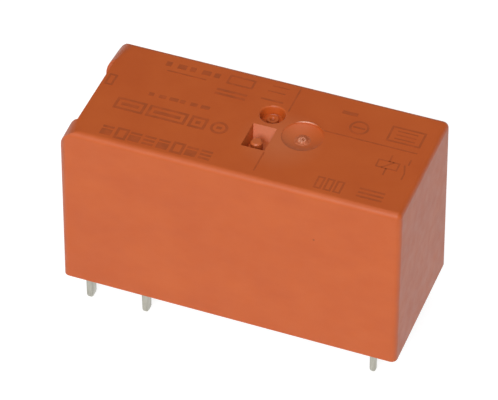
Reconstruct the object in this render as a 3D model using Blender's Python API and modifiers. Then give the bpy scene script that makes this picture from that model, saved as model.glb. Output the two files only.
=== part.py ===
"""Sealed power relay for a printed circuit board, one normally open contact.

A moulded cover stands over a base plate. Inside, a horizontal coil pulls an armature, and a
slide above the coil carries that movement to a leaf spring with the moving contact.
Metres, +Z up. X runs from the contact end (-X) to the coil end (+X), -Y is the front.
The origin is the centre of the underside, which sits on the circuit board.
"""

import math

import bmesh
import bpy
from mathutils import Matrix, Vector

OBJECT_NAME = "power_relay"

# Clearances between pieces
SEAT = 0.00005           # pieces that rest on each other
SLIP = 0.00010           # pieces that slide past each other
PRESS = 0.00003          # rivets and pins in their holes
SEAL_GAP = 0.00002       # resin to the walls it sticks to
SWING_ROOM = 0.00030     # armature to the cover when it is open

# Cover
COVER_LENGTH = 0.0290
COVER_WIDTH = 0.0127
COVER_HEIGHT = 0.0157
COVER_END_DRAFT = 0.00012    # each end wall leans in by this much from rim to top
COVER_SIDE_DRAFT = 0.00030   # and each long side by this much
COVER_WALL = 0.0006
COVER_ROOF = 0.0010
COVER_EDGE_RADIUS = 0.0005
CAVITY_CORNER_RADIUS = 0.0003
CONTACT_END_LEAN = 0.0010    # the cavity leans in further behind the recess of this end

# Contact end of the cover: a recess between two pads with rounded tops
END_RECESS_Y = -0.00115
END_RECESS_WIDTH = 0.0061
END_RECESS_FOOT_Z = 0.0025
END_RECESS_FOOT_DEPTH = 0.00025
END_RECESS_TOP_DEPTH = 0.00093
PAD_TOP_RUN = 0.00125
PAD_TOP_DROP = 0.0020

# Features in the roof of the cover
DISH_X = 0.00405
DISH_Y = 0.00005
DISH_RADIUS = 0.00172
DISH_DEPTH = 0.00062
DISH_LIP = 0.00010
GATE_RADIUS = 0.00045
GATE_TOP_SHARE = 0.85        # of the gate's radius
GATE_HEIGHT = 0.00018
WELL_X = 0.00090
WELL_Y = 0.00170
WELL_RADIUS = 0.00102
WELL_RIM = 0.00014
WELL_FOOT = 0.00010
WELL_DEPTH = 0.00085
WELL_RING_RADIUS = 0.00052
WELL_RING_TOP_SHARE = 0.9    # of the ring's radius
WELL_RING_HEIGHT = 0.00038
WELL_DIMPLE_RADIUS = 0.00016
WELL_DIMPLE_RIM_SHARE = 1.6  # of the dimple's radius
WELL_DIMPLE_DEEP_SHARE = 1.4
POCKET_X = 0.00083
POCKET_LENGTH = 0.0020
POCKET_BACK_Y = 0.00018
POCKET_FRONT_Y = -0.00262
POCKET_RAMP = 0.00060
POCKET_DEPTH = 0.00125
NIB_X = 0.00078
NIB_Y = -0.00160
NIB_RADIUS = 0.00048
NIB_EDGE = 0.00012
NIB_BELOW_TOP = 0.00012
ROOF_BOSS_MARGIN = 0.00060
ROOF_BOSS_DROP = 0.00070

# Pins and their plates
SHEET = 0.0005
PIN_ROW_INSET = 0.0026       # cover side to each row of pins
PIN_BELOW_SEAT = 0.0043
CONTACT_PIN_WIDTH = 0.0009
COIL_PIN_SIDE = 0.00048
PIN_TAPER = 0.00035
PIN_TIP_STEPS = ((0.86, 0.6), (0.5, 0.0))   # share of the width, share of the taper left below
CONTACT_END_INSET = 0.0013   # cover end to the first pin
CONTACT_PIN_PITCH = 0.0050
COIL_END_INSET = 0.0027      # cover end to the coil pins

# Base
BASE_THICKNESS = 0.0015
BASE_FIT = 0.00006
BASE_CORNER_RADIUS = 0.00028
SEAL_WIDTH = 0.00022
SEAL_HEIGHT = 0.00060
SLOT_FIT = 0.00004
YOKE_RAIL_HEIGHT = 0.00025
YOKE_RAIL_WIDTH = 0.0006
EJECTOR_RADIUS = 0.0008
EJECTOR_DEPTH = 0.00010

# Magnet
YOKE_SHEET = 0.0012
YOKE_BEND_RADIUS = 0.0009
YOKE_IN_WINDING = 0.00015    # winding's side to the yoke's
NECK_TO_PIN = 0.00085        # middle of a coil pin to the yoke's narrow end
CORE_SHARE = 0.527           # of the winding's radius
SPIGOT_SHARE = 0.708         # of the core's radius
CORE_RIVET_HEIGHT = 0.00020
POLE_SHARE = 1.292           # of the core's radius
POLE_THICKNESS = 0.0007
POLE_PROUD = 0.00020
ARMATURE_SHEET = 0.0010
ARMATURE_SWING_DEG = 5.25
ARMATURE_SIDE_INSET = 0.0003     # yoke's side to the armature's
TONGUE_SHARE = 0.5               # of the card's width
ARMATURE_TONGUE_SHEET = 0.0005
ARMATURE_HEEL_GAP = 0.00016
ARMATURE_ABOVE_POST = 0.0006     # the head widens this far above the coil pins' posts
ARMATURE_CORNER_RADIUS = 0.00025
AIR_GAP_SHIM = 0.00005
CLIP_SHEET = 0.00018
CLIP_WIDTH = 0.0032
CLIP_TAIL = 0.0042
CLIP_LIP = 0.0012
CLIP_BEND_RADIUS = 0.0002

# Coil
FLANGE_INNER_SHEET = 0.0008
FLANGE_OUTER_SHEET = 0.0011
FLANGE_CORNER_RADIUS = 0.0008
BARREL_WALL = 0.0006
WINDING_BELOW_FLANGE = 0.00022
TERMINAL_BLOCK_HEIGHT = 0.0026
TERMINAL_BLOCK_WIDTH = 0.00145
TERMINAL_POST = 0.0011
LEAD_DIAMETER = 0.00018
LEAD_TURNS = 2.5
LEAD_PITCH = 1.4             # of the lead's diameter, from turn to turn
LEAD_NOTCH = 5               # height of a lead's notch, in diameters of the lead

# Slide
CARD_THICKNESS = 0.0009
CARD_TO_PINS = 0.00075       # card's side to the row of pins, seen from above
CARD_END_STEP = 0.0005
CARD_SIDE_BAR = 0.0015       # the window's side to the card's
WINDOW_CORNER_SHARE = 0.2    # of the window's width
CARD_END_WALL = 0.00055
CARD_HEADROOM = 0.00040
CARD_GUIDE_SHEET = 0.0007
CARD_GUIDE_HEIGHT = 0.0012
CARD_CORNER_RADIUS = 0.0003

# Contacts
LEAF_SHEET = 0.00025
ROOT_TO_PINS = 0.00095       # leaf's root to the row of pins
LEAF_STEP = 0.0005           # the leaf narrows by this much on each side
LEAF_CORNER_RADIUS = 0.0002
LEAF_TONGUE_SHARE = 0.48     # of the card's narrow end
COMMON_PLATE_HEIGHT = 0.0026
CONTACT_BELOW_CARD = 0.0023
CONTACT_HEAD_RADIUS = 0.0015
CONTACT_HEAD_HEIGHT = 0.00065
CONTACT_DOME = 0.00022
CONTACT_SHANK_RADIUS = 0.0007
CONTACT_TAIL_RADIUS = 0.0011
CONTACT_TAIL_HEIGHT = 0.0003
CONTACT_CLOSED_GAP = 0.00010
RIVET_CROWN = 0.8            # share of a rivet's radius that its flat end keeps
PLATE_TO_PINS = 0.00125      # upper plate's side to the row of pins
FIXED_SHELF_HEIGHT = 0.0016
SHEET_BEND_RADIUS = 0.00045
SPRING_RIVET_RADIUS = 0.00040
SPRING_RIVET_HEAD = 0.00060
SPRING_RIVET_HEAD_HEIGHT = 0.00025
SPRING_RIVET_INSET = 0.0010      # leaf's root side to each rivet's middle

# Barrier between coil and contacts
BARRIER_SHEET = 0.0007
BARRIER_CORNER_RADIUS = 0.0002
BARRIER_BEHIND_PLATE = 0.00065
BARRIER_TO_YOKE = 0.0004
BARRIER_SIDE_GAP = 0.0003
BARRIER_CHEEK_HEIGHT = 0.00065   # above the card's top, beside its notch
STOP_WIDTH = 0.0007
STOP_HEIGHT = 0.0008

# Widths that follow from the cover and the two rows of pins
PIN_ROW_Y = COVER_WIDTH / 2 - PIN_ROW_INSET
YOKE_NECK_WIDTH = 2 * (PIN_ROW_Y - NECK_TO_PIN)
ARMATURE_NECK_WIDTH = YOKE_NECK_WIDTH - 2 * SLIP
CARD_WIDTH = 2 * (PIN_ROW_Y - CARD_TO_PINS)
CARD_END_WIDTH = CARD_WIDTH - 2 * CARD_END_STEP
CARD_WINDOW_WIDTH = CARD_WIDTH - 2 * CARD_SIDE_BAR
ARMATURE_TONGUE_WIDTH = CARD_WIDTH * TONGUE_SHARE
LEAF_ROOT_WIDTH = 2 * (PIN_ROW_Y - ROOT_TO_PINS)
LEAF_WIDTH = LEAF_ROOT_WIDTH - 2 * LEAF_STEP
LEAF_TONGUE_WIDTH = CARD_END_WIDTH * LEAF_TONGUE_SHARE
SPRING_RIVET_SPACING = LEAF_ROOT_WIDTH - 2 * SPRING_RIVET_INSET
FIXED_PLATE_WIDTH = 2 * (PIN_ROW_Y - PLATE_TO_PINS)

# Derived places along X
COVER_END_X = COVER_LENGTH / 2
FIXED_PIN_X = -COVER_END_X + CONTACT_END_INSET
COMMON_PIN_X = FIXED_PIN_X + CONTACT_PIN_PITCH
COIL_PIN_X = COVER_END_X - COIL_END_INSET
LEAF_X = COMMON_PIN_X - SHEET / 2 - SEAT - LEAF_SHEET / 2
BARRIER_X = COMMON_PIN_X + SHEET / 2 + BARRIER_BEHIND_PLATE
YOKE_BACK_X = BARRIER_X + BARRIER_SHEET + BARRIER_TO_YOKE
FLANGE_INNER_X = YOKE_BACK_X + YOKE_SHEET + SEAT
WINDING_START_X = FLANGE_INNER_X + FLANGE_INNER_SHEET + SEAT

# Derived places along Z
ROOF_Z = COVER_HEIGHT - COVER_ROOF
CARD_TOP_Z = ROOF_Z - ROOF_BOSS_DROP - CARD_HEADROOM
CARD_BOTTOM_Z = CARD_TOP_Z - CARD_THICKNESS
CARD_MIDDLE_Z = CARD_BOTTOM_Z + CARD_THICKNESS / 2
FLANGE_TOP_Z = CARD_BOTTOM_Z - SLIP
YOKE_BOTTOM_Z = BASE_THICKNESS + YOKE_RAIL_HEIGHT + SEAT
YOKE_TOP_Z = YOKE_BOTTOM_Z + YOKE_SHEET
FLANGE_BOTTOM_Z = YOKE_TOP_Z + SEAT
COIL_Z = (FLANGE_TOP_Z + FLANGE_BOTTOM_Z) / 2
FLANGE_HALF_HEIGHT = (FLANGE_TOP_Z - FLANGE_BOTTOM_Z) / 2
PLATE_FOOT_Z = BASE_THICKNESS + SEAT
COMMON_TOP_Z = PLATE_FOOT_Z + COMMON_PLATE_HEIGHT
CONTACT_Z = CARD_BOTTOM_Z - CONTACT_BELOW_CARD
BLOCK_TOP_Z = PLATE_FOOT_Z + TERMINAL_BLOCK_HEIGHT
POST_TOP_Z = BLOCK_TOP_Z + TERMINAL_POST

# Armature: it leans out by its swing at rest, and stands against the pole when pulled in
SWING = math.radians(ARMATURE_SWING_DEG)
TONGUE_TOP_Z = CARD_TOP_Z + SLIP


def wall_lean(height, draft):
    """How far an outer wall of the cover with this draft has leaned in at this height."""
    return draft * height / COVER_HEIGHT


def cavity_half_width(height):
    return COVER_WIDTH / 2 - COVER_WALL - wall_lean(height, COVER_SIDE_DRAFT)


def cavity_coil_end(height):
    return COVER_END_X - COVER_WALL - wall_lean(height, COVER_END_DRAFT)


def cavity_contact_end(height):
    return -COVER_END_X + COVER_WALL + CONTACT_END_LEAN * height / COVER_HEIGHT


ARMATURE_REACH = (TONGUE_TOP_Z - YOKE_BOTTOM_Z) * math.tan(SWING) + ARMATURE_SHEET / math.cos(SWING)
POLE_FACE_X = cavity_coil_end(TONGUE_TOP_Z) - SWING_ROOM - ARMATURE_REACH - AIR_GAP_SHIM
PIVOT_X = POLE_FACE_X + AIR_GAP_SHIM
FLANGE_OUTER_FACE_X = POLE_FACE_X - POLE_PROUD
FLANGE_OUTER_X = FLANGE_OUTER_FACE_X - FLANGE_OUTER_SHEET
WINDING_END_X = FLANGE_OUTER_X - SEAT
FLANGE_HALF_WIDTH = cavity_half_width(FLANGE_TOP_Z) - BARRIER_SIDE_GAP
WINDING_RADIUS = min(FLANGE_HALF_HEIGHT, FLANGE_HALF_WIDTH) - WINDING_BELOW_FLANGE
YOKE_WIDTH = 2 * (WINDING_RADIUS - YOKE_IN_WINDING)
ARMATURE_HEAD_WIDTH = YOKE_WIDTH - 2 * ARMATURE_SIDE_INSET
CORE_RADIUS = WINDING_RADIUS * CORE_SHARE
CORE_SPIGOT_RADIUS = CORE_RADIUS * SPIGOT_SHARE
POLE_RADIUS = CORE_RADIUS * POLE_SHARE
BARREL_RADIUS = CORE_RADIUS + SEAT + BARREL_WALL

# Travels that the swing of the armature brings
CARD_ARM = CARD_MIDDLE_Z - YOKE_BOTTOM_Z
CARD_TRAVEL = CARD_ARM * SWING
LEAF_ARM = CARD_MIDDLE_Z - COMMON_TOP_Z
LEAF_FLEX = CARD_TRAVEL / LEAF_ARM
CONTACT_TRAVEL = LEAF_FLEX * (CONTACT_Z - COMMON_TOP_Z)
MOVING_FACE_X = LEAF_X - LEAF_SHEET / 2 - SEAT - CONTACT_HEAD_HEIGHT
FIXED_FACE_X = MOVING_FACE_X - CONTACT_TRAVEL - CONTACT_CLOSED_GAP
FIXED_PLATE_X = FIXED_FACE_X - CONTACT_HEAD_HEIGHT - SEAT - SHEET / 2

PIN_TIP_Z = -PIN_BELOW_SEAT
PLATE_HALF_WIDTH = PIN_ROW_Y + CONTACT_PIN_WIDTH / 2
LEAD_Y = PIN_ROW_Y + COIL_PIN_SIDE + 2 * LEAD_DIAMETER    # where a lead runs through the flange
WELD = 1e-7              # points closer than this are one point
OVERCUT = 0.0004         # how far a cutter runs past the face that it opens
SMOOTH_ANGLE = math.radians(35)   # edges that bend less than this are shaded smooth
DRAWING_SCALE = 1000.0   # outlines are drawn in millimetres, which Blender's fill needs

# Frames that turn a flat drawing (u, v, thickness) into the part's X, Y and Z
FACING_X = Matrix(((0, 0, 1, 0), (1, 0, 0, 0), (0, 1, 0, 0), (0, 0, 0, 1)))
FACING_Y = Matrix(((1, 0, 0, 0), (0, 0, -1, 0), (0, 1, 0, 0), (0, 0, 0, 1)))
FACING_Z = Matrix.Identity(4)
ALONG_X = Matrix.Rotation(math.pi / 2, 4, "Y")


# Scene and materials

def clear_scene():
    for obj in list(bpy.data.objects):
        bpy.data.objects.remove(obj, do_unlink=True)


def new_collection(name):
    collection = bpy.data.collections.new(name)
    bpy.context.scene.collection.children.link(collection)
    return collection


clear_scene()
PARTS = new_collection(OBJECT_NAME)
CUTTERS = new_collection(OBJECT_NAME + "_cutters")


def linear(channel):
    """A display value from 0 to 255 as the linear value that a shader takes."""
    value = channel / 255
    return value / 12.92 if value <= 0.04045 else ((value + 0.055) / 1.055) ** 2.4


def material(name, colour, roughness, metallic=0.0):
    surface = bpy.data.materials.new(name)
    surface.use_nodes = True
    shader = surface.node_tree.nodes["Principled BSDF"]
    shader.inputs["Base Color"].default_value = (*(linear(c) for c in colour), 1.0)
    shader.inputs["Roughness"].default_value = roughness
    shader.inputs["Metallic"].default_value = metallic
    return surface


ORANGE_COVER = material("orange_cover", (206, 98, 55), 0.45)
BLACK_BASE = material("black_base", (44, 42, 42), 0.55)
AMBER_RESIN = material("amber_resin", (120, 84, 48), 0.30)
NATURAL_BOBBIN = material("natural_bobbin", (222, 214, 196), 0.50)
WHITE_CARD = material("white_card", (236, 234, 226), 0.50)
TINNED_COPPER = material("tinned_copper", (186, 184, 174), 0.35, 1.0)
SPRING_COPPER = material("spring_copper", (196, 138, 96), 0.30, 1.0)
ENAMELLED_WIRE = material("enamelled_wire", (168, 78, 36), 0.35, 0.6)
SOFT_IRON = material("soft_iron", (160, 162, 164), 0.35, 1.0)
SILVER_CONTACT = material("silver_contact", (214, 212, 206), 0.25, 1.0)


# Modelling helpers

def keep(obj, surface):
    """Put a finished piece among the parts."""
    PARTS.objects.link(obj)
    obj.data.materials.clear()
    obj.data.materials.append(surface)
    obj.data.shade_smooth()
    obj.data.set_sharp_from_angle(angle=SMOOTH_ANGLE)
    return obj


def shape(obj):
    """Put a cutter, or a form that a piece is joined from, among the cutters."""
    CUTTERS.objects.link(obj)
    obj.hide_render = True
    obj.display_type = "WIRE"
    return obj


def combine(target, other, operation):
    modifier = target.modifiers.new(other.name, "BOOLEAN")
    modifier.object = other
    modifier.operation = operation
    modifier.solver = "EXACT"
    return target


def cut(target, *cutters):
    for cutter in cutters:
        combine(target, shape(cutter), "DIFFERENCE")
    return target


def join(target, *others):
    for other in others:
        combine(target, shape(other), "UNION")
    return target


def upright_edges(bm):
    upright = []
    for edge in bm.edges:
        span = edge.verts[0].co - edge.verts[1].co
        if abs(span.z) > span.xy.length:
            upright.append(edge)
    return upright


def box(name, low, high, radius=0.0, leans=(0.0, 0.0, 0.0), round_top=False, segments=4):
    """A box between two corners. leans moves the top in at -X, at +X and on both Y sides."""
    size = Vector(high) - Vector(low)
    middle = (Vector(high) + Vector(low)) / 2
    bm = bmesh.new()
    bmesh.ops.create_cube(bm, size=1.0)
    placing = Matrix.Translation(middle) @ Matrix.Diagonal((*size, 1.0))
    bmesh.ops.transform(bm, matrix=placing, verts=bm.verts)
    low_lean, high_lean, side_lean = leans
    top = [v for v in bm.verts if v.co.z > middle.z]
    for vert in top:
        vert.co.x += low_lean if vert.co.x < middle.x else -high_lean
        vert.co.y += side_lean if vert.co.y < middle.y else -side_lean
    if radius:
        edges = upright_edges(bm)
        if round_top:
            edges += [e for e in bm.edges if e.verts[0] in top and e.verts[1] in top]
        bmesh.ops.bevel(bm, geom=edges, offset=radius, offset_type="OFFSET", segments=segments,
                        profile=0.5, affect="EDGES", clamp_overlap=True)
    bmesh.ops.recalc_face_normals(bm, faces=bm.faces)
    mesh = bpy.data.meshes.new(name)
    bm.to_mesh(mesh)
    bm.free()
    return bpy.data.objects.new(name, mesh)


def blade(name, centre, thickness, width, top, tip, taper):
    """A square or flat pin, tapered to its tip."""
    bm = bmesh.new()
    bmesh.ops.create_cube(bm, size=1.0)
    shoulder = tip + taper
    place = Matrix.Translation((centre[0], centre[1], (top + shoulder) / 2))
    bmesh.ops.transform(bm, matrix=place @ Matrix.Diagonal((thickness, width, top - shoulder, 1.0)),
                        verts=bm.verts)
    bm.faces.ensure_lookup_table()
    foot = min(bm.faces, key=lambda f: f.calc_center_median().z)
    for share, level in PIN_TIP_STEPS:
        end = bmesh.ops.extrude_face_region(bm, geom=[foot])
        verts = [g for g in end["geom"] if isinstance(g, bmesh.types.BMVert)]
        bmesh.ops.delete(bm, geom=[foot], context="FACES_ONLY")
        foot = next(g for g in end["geom"] if isinstance(g, bmesh.types.BMFace))
        for vert in verts:
            side_x = math.copysign(thickness / 2, vert.co.x - centre[0])
            side_y = math.copysign(width / 2, vert.co.y - centre[1])
            vert.co = (centre[0] + side_x * share, centre[1] + side_y * share, tip + taper * level)
    bmesh.ops.recalc_face_normals(bm, faces=bm.faces)
    mesh = bpy.data.meshes.new(name)
    bm.to_mesh(mesh)
    bm.free()
    return bpy.data.objects.new(name, mesh)


def lathe(name, profile, place, steps=32, closed=False):
    """A turned piece: (radius, height) pairs from the top, down the outer side, to the foot."""
    bm = bmesh.new()
    verts = [bm.verts.new((radius, 0, height)) for radius, height in profile]
    for first, second in zip(verts, verts[1:]):
        bm.edges.new((first, second))
    if closed:
        bm.edges.new((verts[-1], verts[0]))
    mesh = bpy.data.meshes.new(name)
    bm.to_mesh(mesh)
    bm.free()
    obj = bpy.data.objects.new(name, mesh)
    obj.matrix_world = place
    screw = obj.modifiers.new("turn", "SCREW")
    screw.axis = "Z"
    screw.steps = steps
    screw.render_steps = steps
    screw.use_merge_vertices = True
    screw.merge_threshold = WELD
    return obj


def filleted(points, radii, steps=4):
    """An outline with its corners rounded; radii is one value, or one for each corner."""
    if not isinstance(radii, (list, tuple)):
        radii = [radii] * len(points)
    rounded = []
    for index, (corner, radius) in enumerate(zip(points, radii)):
        here = Vector(corner)
        to_last = (Vector(points[index - 1]) - here).normalized()
        to_next = (Vector(points[(index + 1) % len(points)]) - here).normalized()
        if radius == 0:
            rounded.append(tuple(here))
            continue
        half_angle = to_last.angle(to_next) / 2
        reach = radius / math.tan(half_angle)
        centre = here + (to_last + to_next).normalized() * radius / math.sin(half_angle)
        start = here + to_last * reach - centre
        sweep = (here + to_next * reach - centre).angle_signed(start)
        for step in range(steps + 1):
            turn = Matrix.Rotation(sweep * step / steps, 2)
            rounded.append(tuple(centre + turn @ start))
    return rounded


def bent_sheet(path, radius, thickness, steps=5):
    """The edge view of a bent strip: a centre line with rounded bends, given a thickness."""
    inner = filleted(path, [0] + [radius] * (len(path) - 2) + [0], steps)
    left = []
    right = []
    for index, point in enumerate(inner):
        before = Vector(inner[max(index - 1, 0)])
        after = Vector(inner[min(index + 1, len(inner) - 1)])
        along = (after - before).normalized()
        aside = Vector((-along.y, along.x)) * thickness / 2
        left.append(tuple(Vector(point) + aside))
        right.append(tuple(Vector(point) - aside))
    return left + right[::-1]


def circle(centre, radius, steps=20):
    return [(centre[0] + radius * math.cos(2 * math.pi * i / steps),
             centre[1] + radius * math.sin(2 * math.pi * i / steps)) for i in range(steps)]


def rectangle(low, high):
    return [(low[0], low[1]), (high[0], low[1]), (high[0], high[1]), (low[0], high[1])]


def curve_mesh(name, curve, place):
    """The mesh of a curve, with its caps welded on and its normals pointing out."""
    drawing = bpy.data.objects.new(name + "_drawing", curve)
    CUTTERS.objects.link(drawing)
    bpy.context.view_layer.update()
    depsgraph = bpy.context.evaluated_depsgraph_get()
    mesh = bpy.data.meshes.new_from_object(drawing.evaluated_get(depsgraph))
    bm = bmesh.new()
    bm.from_mesh(mesh)
    bmesh.ops.scale(bm, vec=Vector((1, 1, 1)) / DRAWING_SCALE, verts=bm.verts)
    bmesh.ops.remove_doubles(bm, verts=bm.verts, dist=WELD)
    bmesh.ops.recalc_face_normals(bm, faces=bm.faces)
    bm.to_mesh(mesh)
    bm.free()
    bpy.data.objects.remove(drawing, do_unlink=True)
    obj = bpy.data.objects.new(name, mesh)
    obj.matrix_world = place
    return obj


def plate(name, outlines, thickness, place):
    """A flat outline with a thickness; the outlines after the first are its holes."""
    curve = bpy.data.curves.new(name, "CURVE")
    curve.dimensions = "2D"
    curve.fill_mode = "BOTH"
    curve.extrude = thickness / 2 * DRAWING_SCALE
    for outline in outlines:
        spline = curve.splines.new("POLY")
        spline.points.add(len(outline) - 1)
        for point, (u, v) in zip(spline.points, outline):
            point.co = (u * DRAWING_SCALE, v * DRAWING_SCALE, 0, 1)
        spline.use_cyclic_u = True
    return curve_mesh(name, curve, place)


def wire(name, points, diameter):
    curve = bpy.data.curves.new(name, "CURVE")
    curve.dimensions = "3D"
    curve.bevel_depth = diameter / 2 * DRAWING_SCALE
    curve.bevel_resolution = 2
    curve.use_fill_caps = True
    spline = curve.splines.new("POLY")
    spline.points.add(len(points) - 1)
    for point, place in zip(spline.points, points):
        point.co = (*(Vector(place) * DRAWING_SCALE), 1)
    return curve_mesh(name, curve, FACING_Z)


# Cover

def pad_top_cutter(name, low_y, high_y):
    """The sliver outside the rounded top edge of one end pad."""
    top_x = -COVER_END_X + COVER_END_DRAFT
    centre = (top_x + PAD_TOP_RUN, COVER_HEIGHT - PAD_TOP_DROP)
    steps = 6
    arc = []
    for step in range(steps + 1):
        angle = math.pi / 2 * step / steps
        arc.append((centre[0] - PAD_TOP_RUN * math.sin(angle),
                    centre[1] + PAD_TOP_DROP * math.cos(angle)))
    outside_x = -COVER_END_X - OVERCUT
    above_z = COVER_HEIGHT + OVERCUT
    outline = arc + [(outside_x, centre[1] - OVERCUT), (outside_x, above_z), (centre[0], above_z)]
    middle = Matrix.Translation((0, (low_y + high_y) / 2, 0))
    return plate(name, [outline], high_y - low_y, middle @ FACING_Y)


def end_recess_cutter():
    top_x = -COVER_END_X + COVER_END_DRAFT + END_RECESS_TOP_DEPTH
    foot_lean = wall_lean(END_RECESS_FOOT_Z, COVER_END_DRAFT)
    foot_x = -COVER_END_X + foot_lean + END_RECESS_FOOT_DEPTH
    outside_x = -COVER_END_X - OVERCUT
    above_z = COVER_HEIGHT + OVERCUT
    slope = (top_x - foot_x) / (COVER_HEIGHT - END_RECESS_FOOT_Z)
    outline = [(outside_x, END_RECESS_FOOT_Z), (foot_x, END_RECESS_FOOT_Z),
               (top_x + slope * OVERCUT, above_z), (outside_x, above_z)]
    return plate("end_recess", [outline], END_RECESS_WIDTH,
                 Matrix.Translation((0, END_RECESS_Y, 0)) @ FACING_Y)


def dish_cutter():
    """A shallow spherical dish; the gate mark stays as a low stub in its middle."""
    bowl = DISH_DEPTH - DISH_LIP
    sphere = (DISH_RADIUS ** 2 + bowl ** 2) / (2 * bowl)
    bottom = -DISH_DEPTH
    profile = [(0, OVERCUT), (DISH_RADIUS, OVERCUT)]
    steps = 6
    for step in range(steps + 1):
        radius = DISH_RADIUS + (GATE_RADIUS - DISH_RADIUS) * step / steps
        profile.append((radius, bottom + sphere - math.sqrt(sphere ** 2 - radius ** 2)))
    profile.append((GATE_RADIUS * GATE_TOP_SHARE, bottom + GATE_HEIGHT))
    profile.append((0, bottom + GATE_HEIGHT))
    return lathe("dish", profile, Matrix.Translation((DISH_X, DISH_Y, COVER_HEIGHT)), 36)


def well_cutter():
    """A round well with a ring on its floor and a dimple in the ring."""
    floor = -WELL_DEPTH
    ring = floor + WELL_RING_HEIGHT
    rim = WELL_RADIUS + WELL_RIM
    foot = WELL_RADIUS - WELL_FOOT
    profile = [(0, OVERCUT), (rim, OVERCUT)]
    steps = 3
    for step in range(steps + 1):
        angle = math.pi / 2 * step / steps
        profile.append((rim - WELL_RIM * math.sin(angle), -WELL_RIM * (1 - math.cos(angle))))
    profile += [(foot, floor + WELL_FOOT), (foot - WELL_FOOT, floor), (WELL_RING_RADIUS, floor),
                (WELL_RING_RADIUS * WELL_RING_TOP_SHARE, ring),
                (WELL_DIMPLE_RADIUS * WELL_DIMPLE_RIM_SHARE, ring),
                (WELL_DIMPLE_RADIUS, ring - WELL_DIMPLE_RADIUS),
                (0, ring - WELL_DIMPLE_RADIUS * WELL_DIMPLE_DEEP_SHARE)]
    return lathe("well", profile, Matrix.Translation((WELL_X, WELL_Y, COVER_HEIGHT)), 28)


def pocket_cutter():
    """A pocket with a steep ramp at its back; a round vent nib is left standing in it."""
    floor_z = COVER_HEIGHT - POCKET_DEPTH
    above_z = COVER_HEIGHT + OVERCUT
    slope = POCKET_RAMP / POCKET_DEPTH
    outline = [(POCKET_BACK_Y + slope * OVERCUT, above_z), (POCKET_BACK_Y - POCKET_RAMP, floor_z),
               (POCKET_FRONT_Y, floor_z), (POCKET_FRONT_Y, above_z)]
    pocket = plate("pocket", [outline], POCKET_LENGTH, Matrix.Translation((POCKET_X, 0, 0)) @ FACING_X)
    nib_top = COVER_HEIGHT - NIB_BELOW_TOP
    profile = [(0, nib_top), (NIB_RADIUS - NIB_EDGE, nib_top), (NIB_RADIUS, nib_top - NIB_EDGE),
               (NIB_RADIUS, floor_z - OVERCUT), (0, floor_z - OVERCUT)]
    nib = lathe("nib", profile, Matrix.Translation((NIB_X, NIB_Y, 0)), 20)
    return cut(pocket, nib)


def roof_boss():
    """The thicker roof round the well, the pocket and the dish."""
    low = (POCKET_X - POCKET_LENGTH / 2 - ROOF_BOSS_MARGIN, POCKET_FRONT_Y - ROOF_BOSS_MARGIN,
           ROOF_Z - ROOF_BOSS_DROP)
    high = (DISH_X + DISH_RADIUS + ROOF_BOSS_MARGIN, WELL_Y + WELL_RADIUS + ROOF_BOSS_MARGIN,
            ROOF_Z + COVER_ROOF / 2)
    return box("roof_boss", low, high, CAVITY_CORNER_RADIUS)


def make_cover():
    half_width = COVER_WIDTH / 2
    cover = box("cover", (-COVER_END_X, -half_width, 0), (COVER_END_X, half_width, COVER_HEIGHT),
                COVER_EDGE_RADIUS, (COVER_END_DRAFT, COVER_END_DRAFT, COVER_SIDE_DRAFT), True, 6)
    foot_z = -OVERCUT
    cavity = box("cavity", (cavity_contact_end(foot_z), -cavity_half_width(foot_z), foot_z),
                 (cavity_coil_end(foot_z), cavity_half_width(foot_z), ROOF_Z), CAVITY_CORNER_RADIUS,
                 (cavity_contact_end(ROOF_Z) - cavity_contact_end(foot_z),
                  cavity_coil_end(foot_z) - cavity_coil_end(ROOF_Z),
                  cavity_half_width(foot_z) - cavity_half_width(ROOF_Z)))
    recess_front = END_RECESS_Y - END_RECESS_WIDTH / 2
    recess_back = END_RECESS_Y + END_RECESS_WIDTH / 2
    cut(cover, cavity)
    cut(cover, pad_top_cutter("front_pad_top", -half_width - OVERCUT, recess_front),
        pad_top_cutter("rear_pad_top", recess_back, half_width + OVERCUT), end_recess_cutter())
    join(cover, roof_boss())
    cut(cover, dish_cutter(), well_cutter(), pocket_cutter())
    return keep(cover, ORANGE_COVER)


# Base and seal

def base_outline(inset):
    """The low and high corner of the base plate in X and Y, taken in by an inset."""
    half_width = cavity_half_width(BASE_THICKNESS) - BASE_FIT - inset
    low_x = cavity_contact_end(BASE_THICKNESS) + BASE_FIT + inset
    high_x = cavity_coil_end(BASE_THICKNESS) - BASE_FIT - inset
    return (low_x, -half_width), (high_x, half_width)


def base_slab(name, inset, low_z, high_z, radius):
    low, high = base_outline(inset)
    return box(name, (*low, low_z), (*high, high_z), radius)


def pin_slot(name, x, y, thickness, width):
    half_x = thickness / 2 + SLOT_FIT
    half_y = width / 2 + SLOT_FIT
    return box(name, (x - half_x, y - half_y, -OVERCUT),
               (x + half_x, y + half_y, BASE_THICKNESS + YOKE_RAIL_HEIGHT + OVERCUT))


def ejector_mark(name, x, y):
    profile = [(0, EJECTOR_DEPTH), (EJECTOR_RADIUS, EJECTOR_DEPTH), (EJECTOR_RADIUS, -OVERCUT),
               (0, -OVERCUT)]
    return lathe(name, profile, Matrix.Translation((x, y, 0)), 24)


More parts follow.
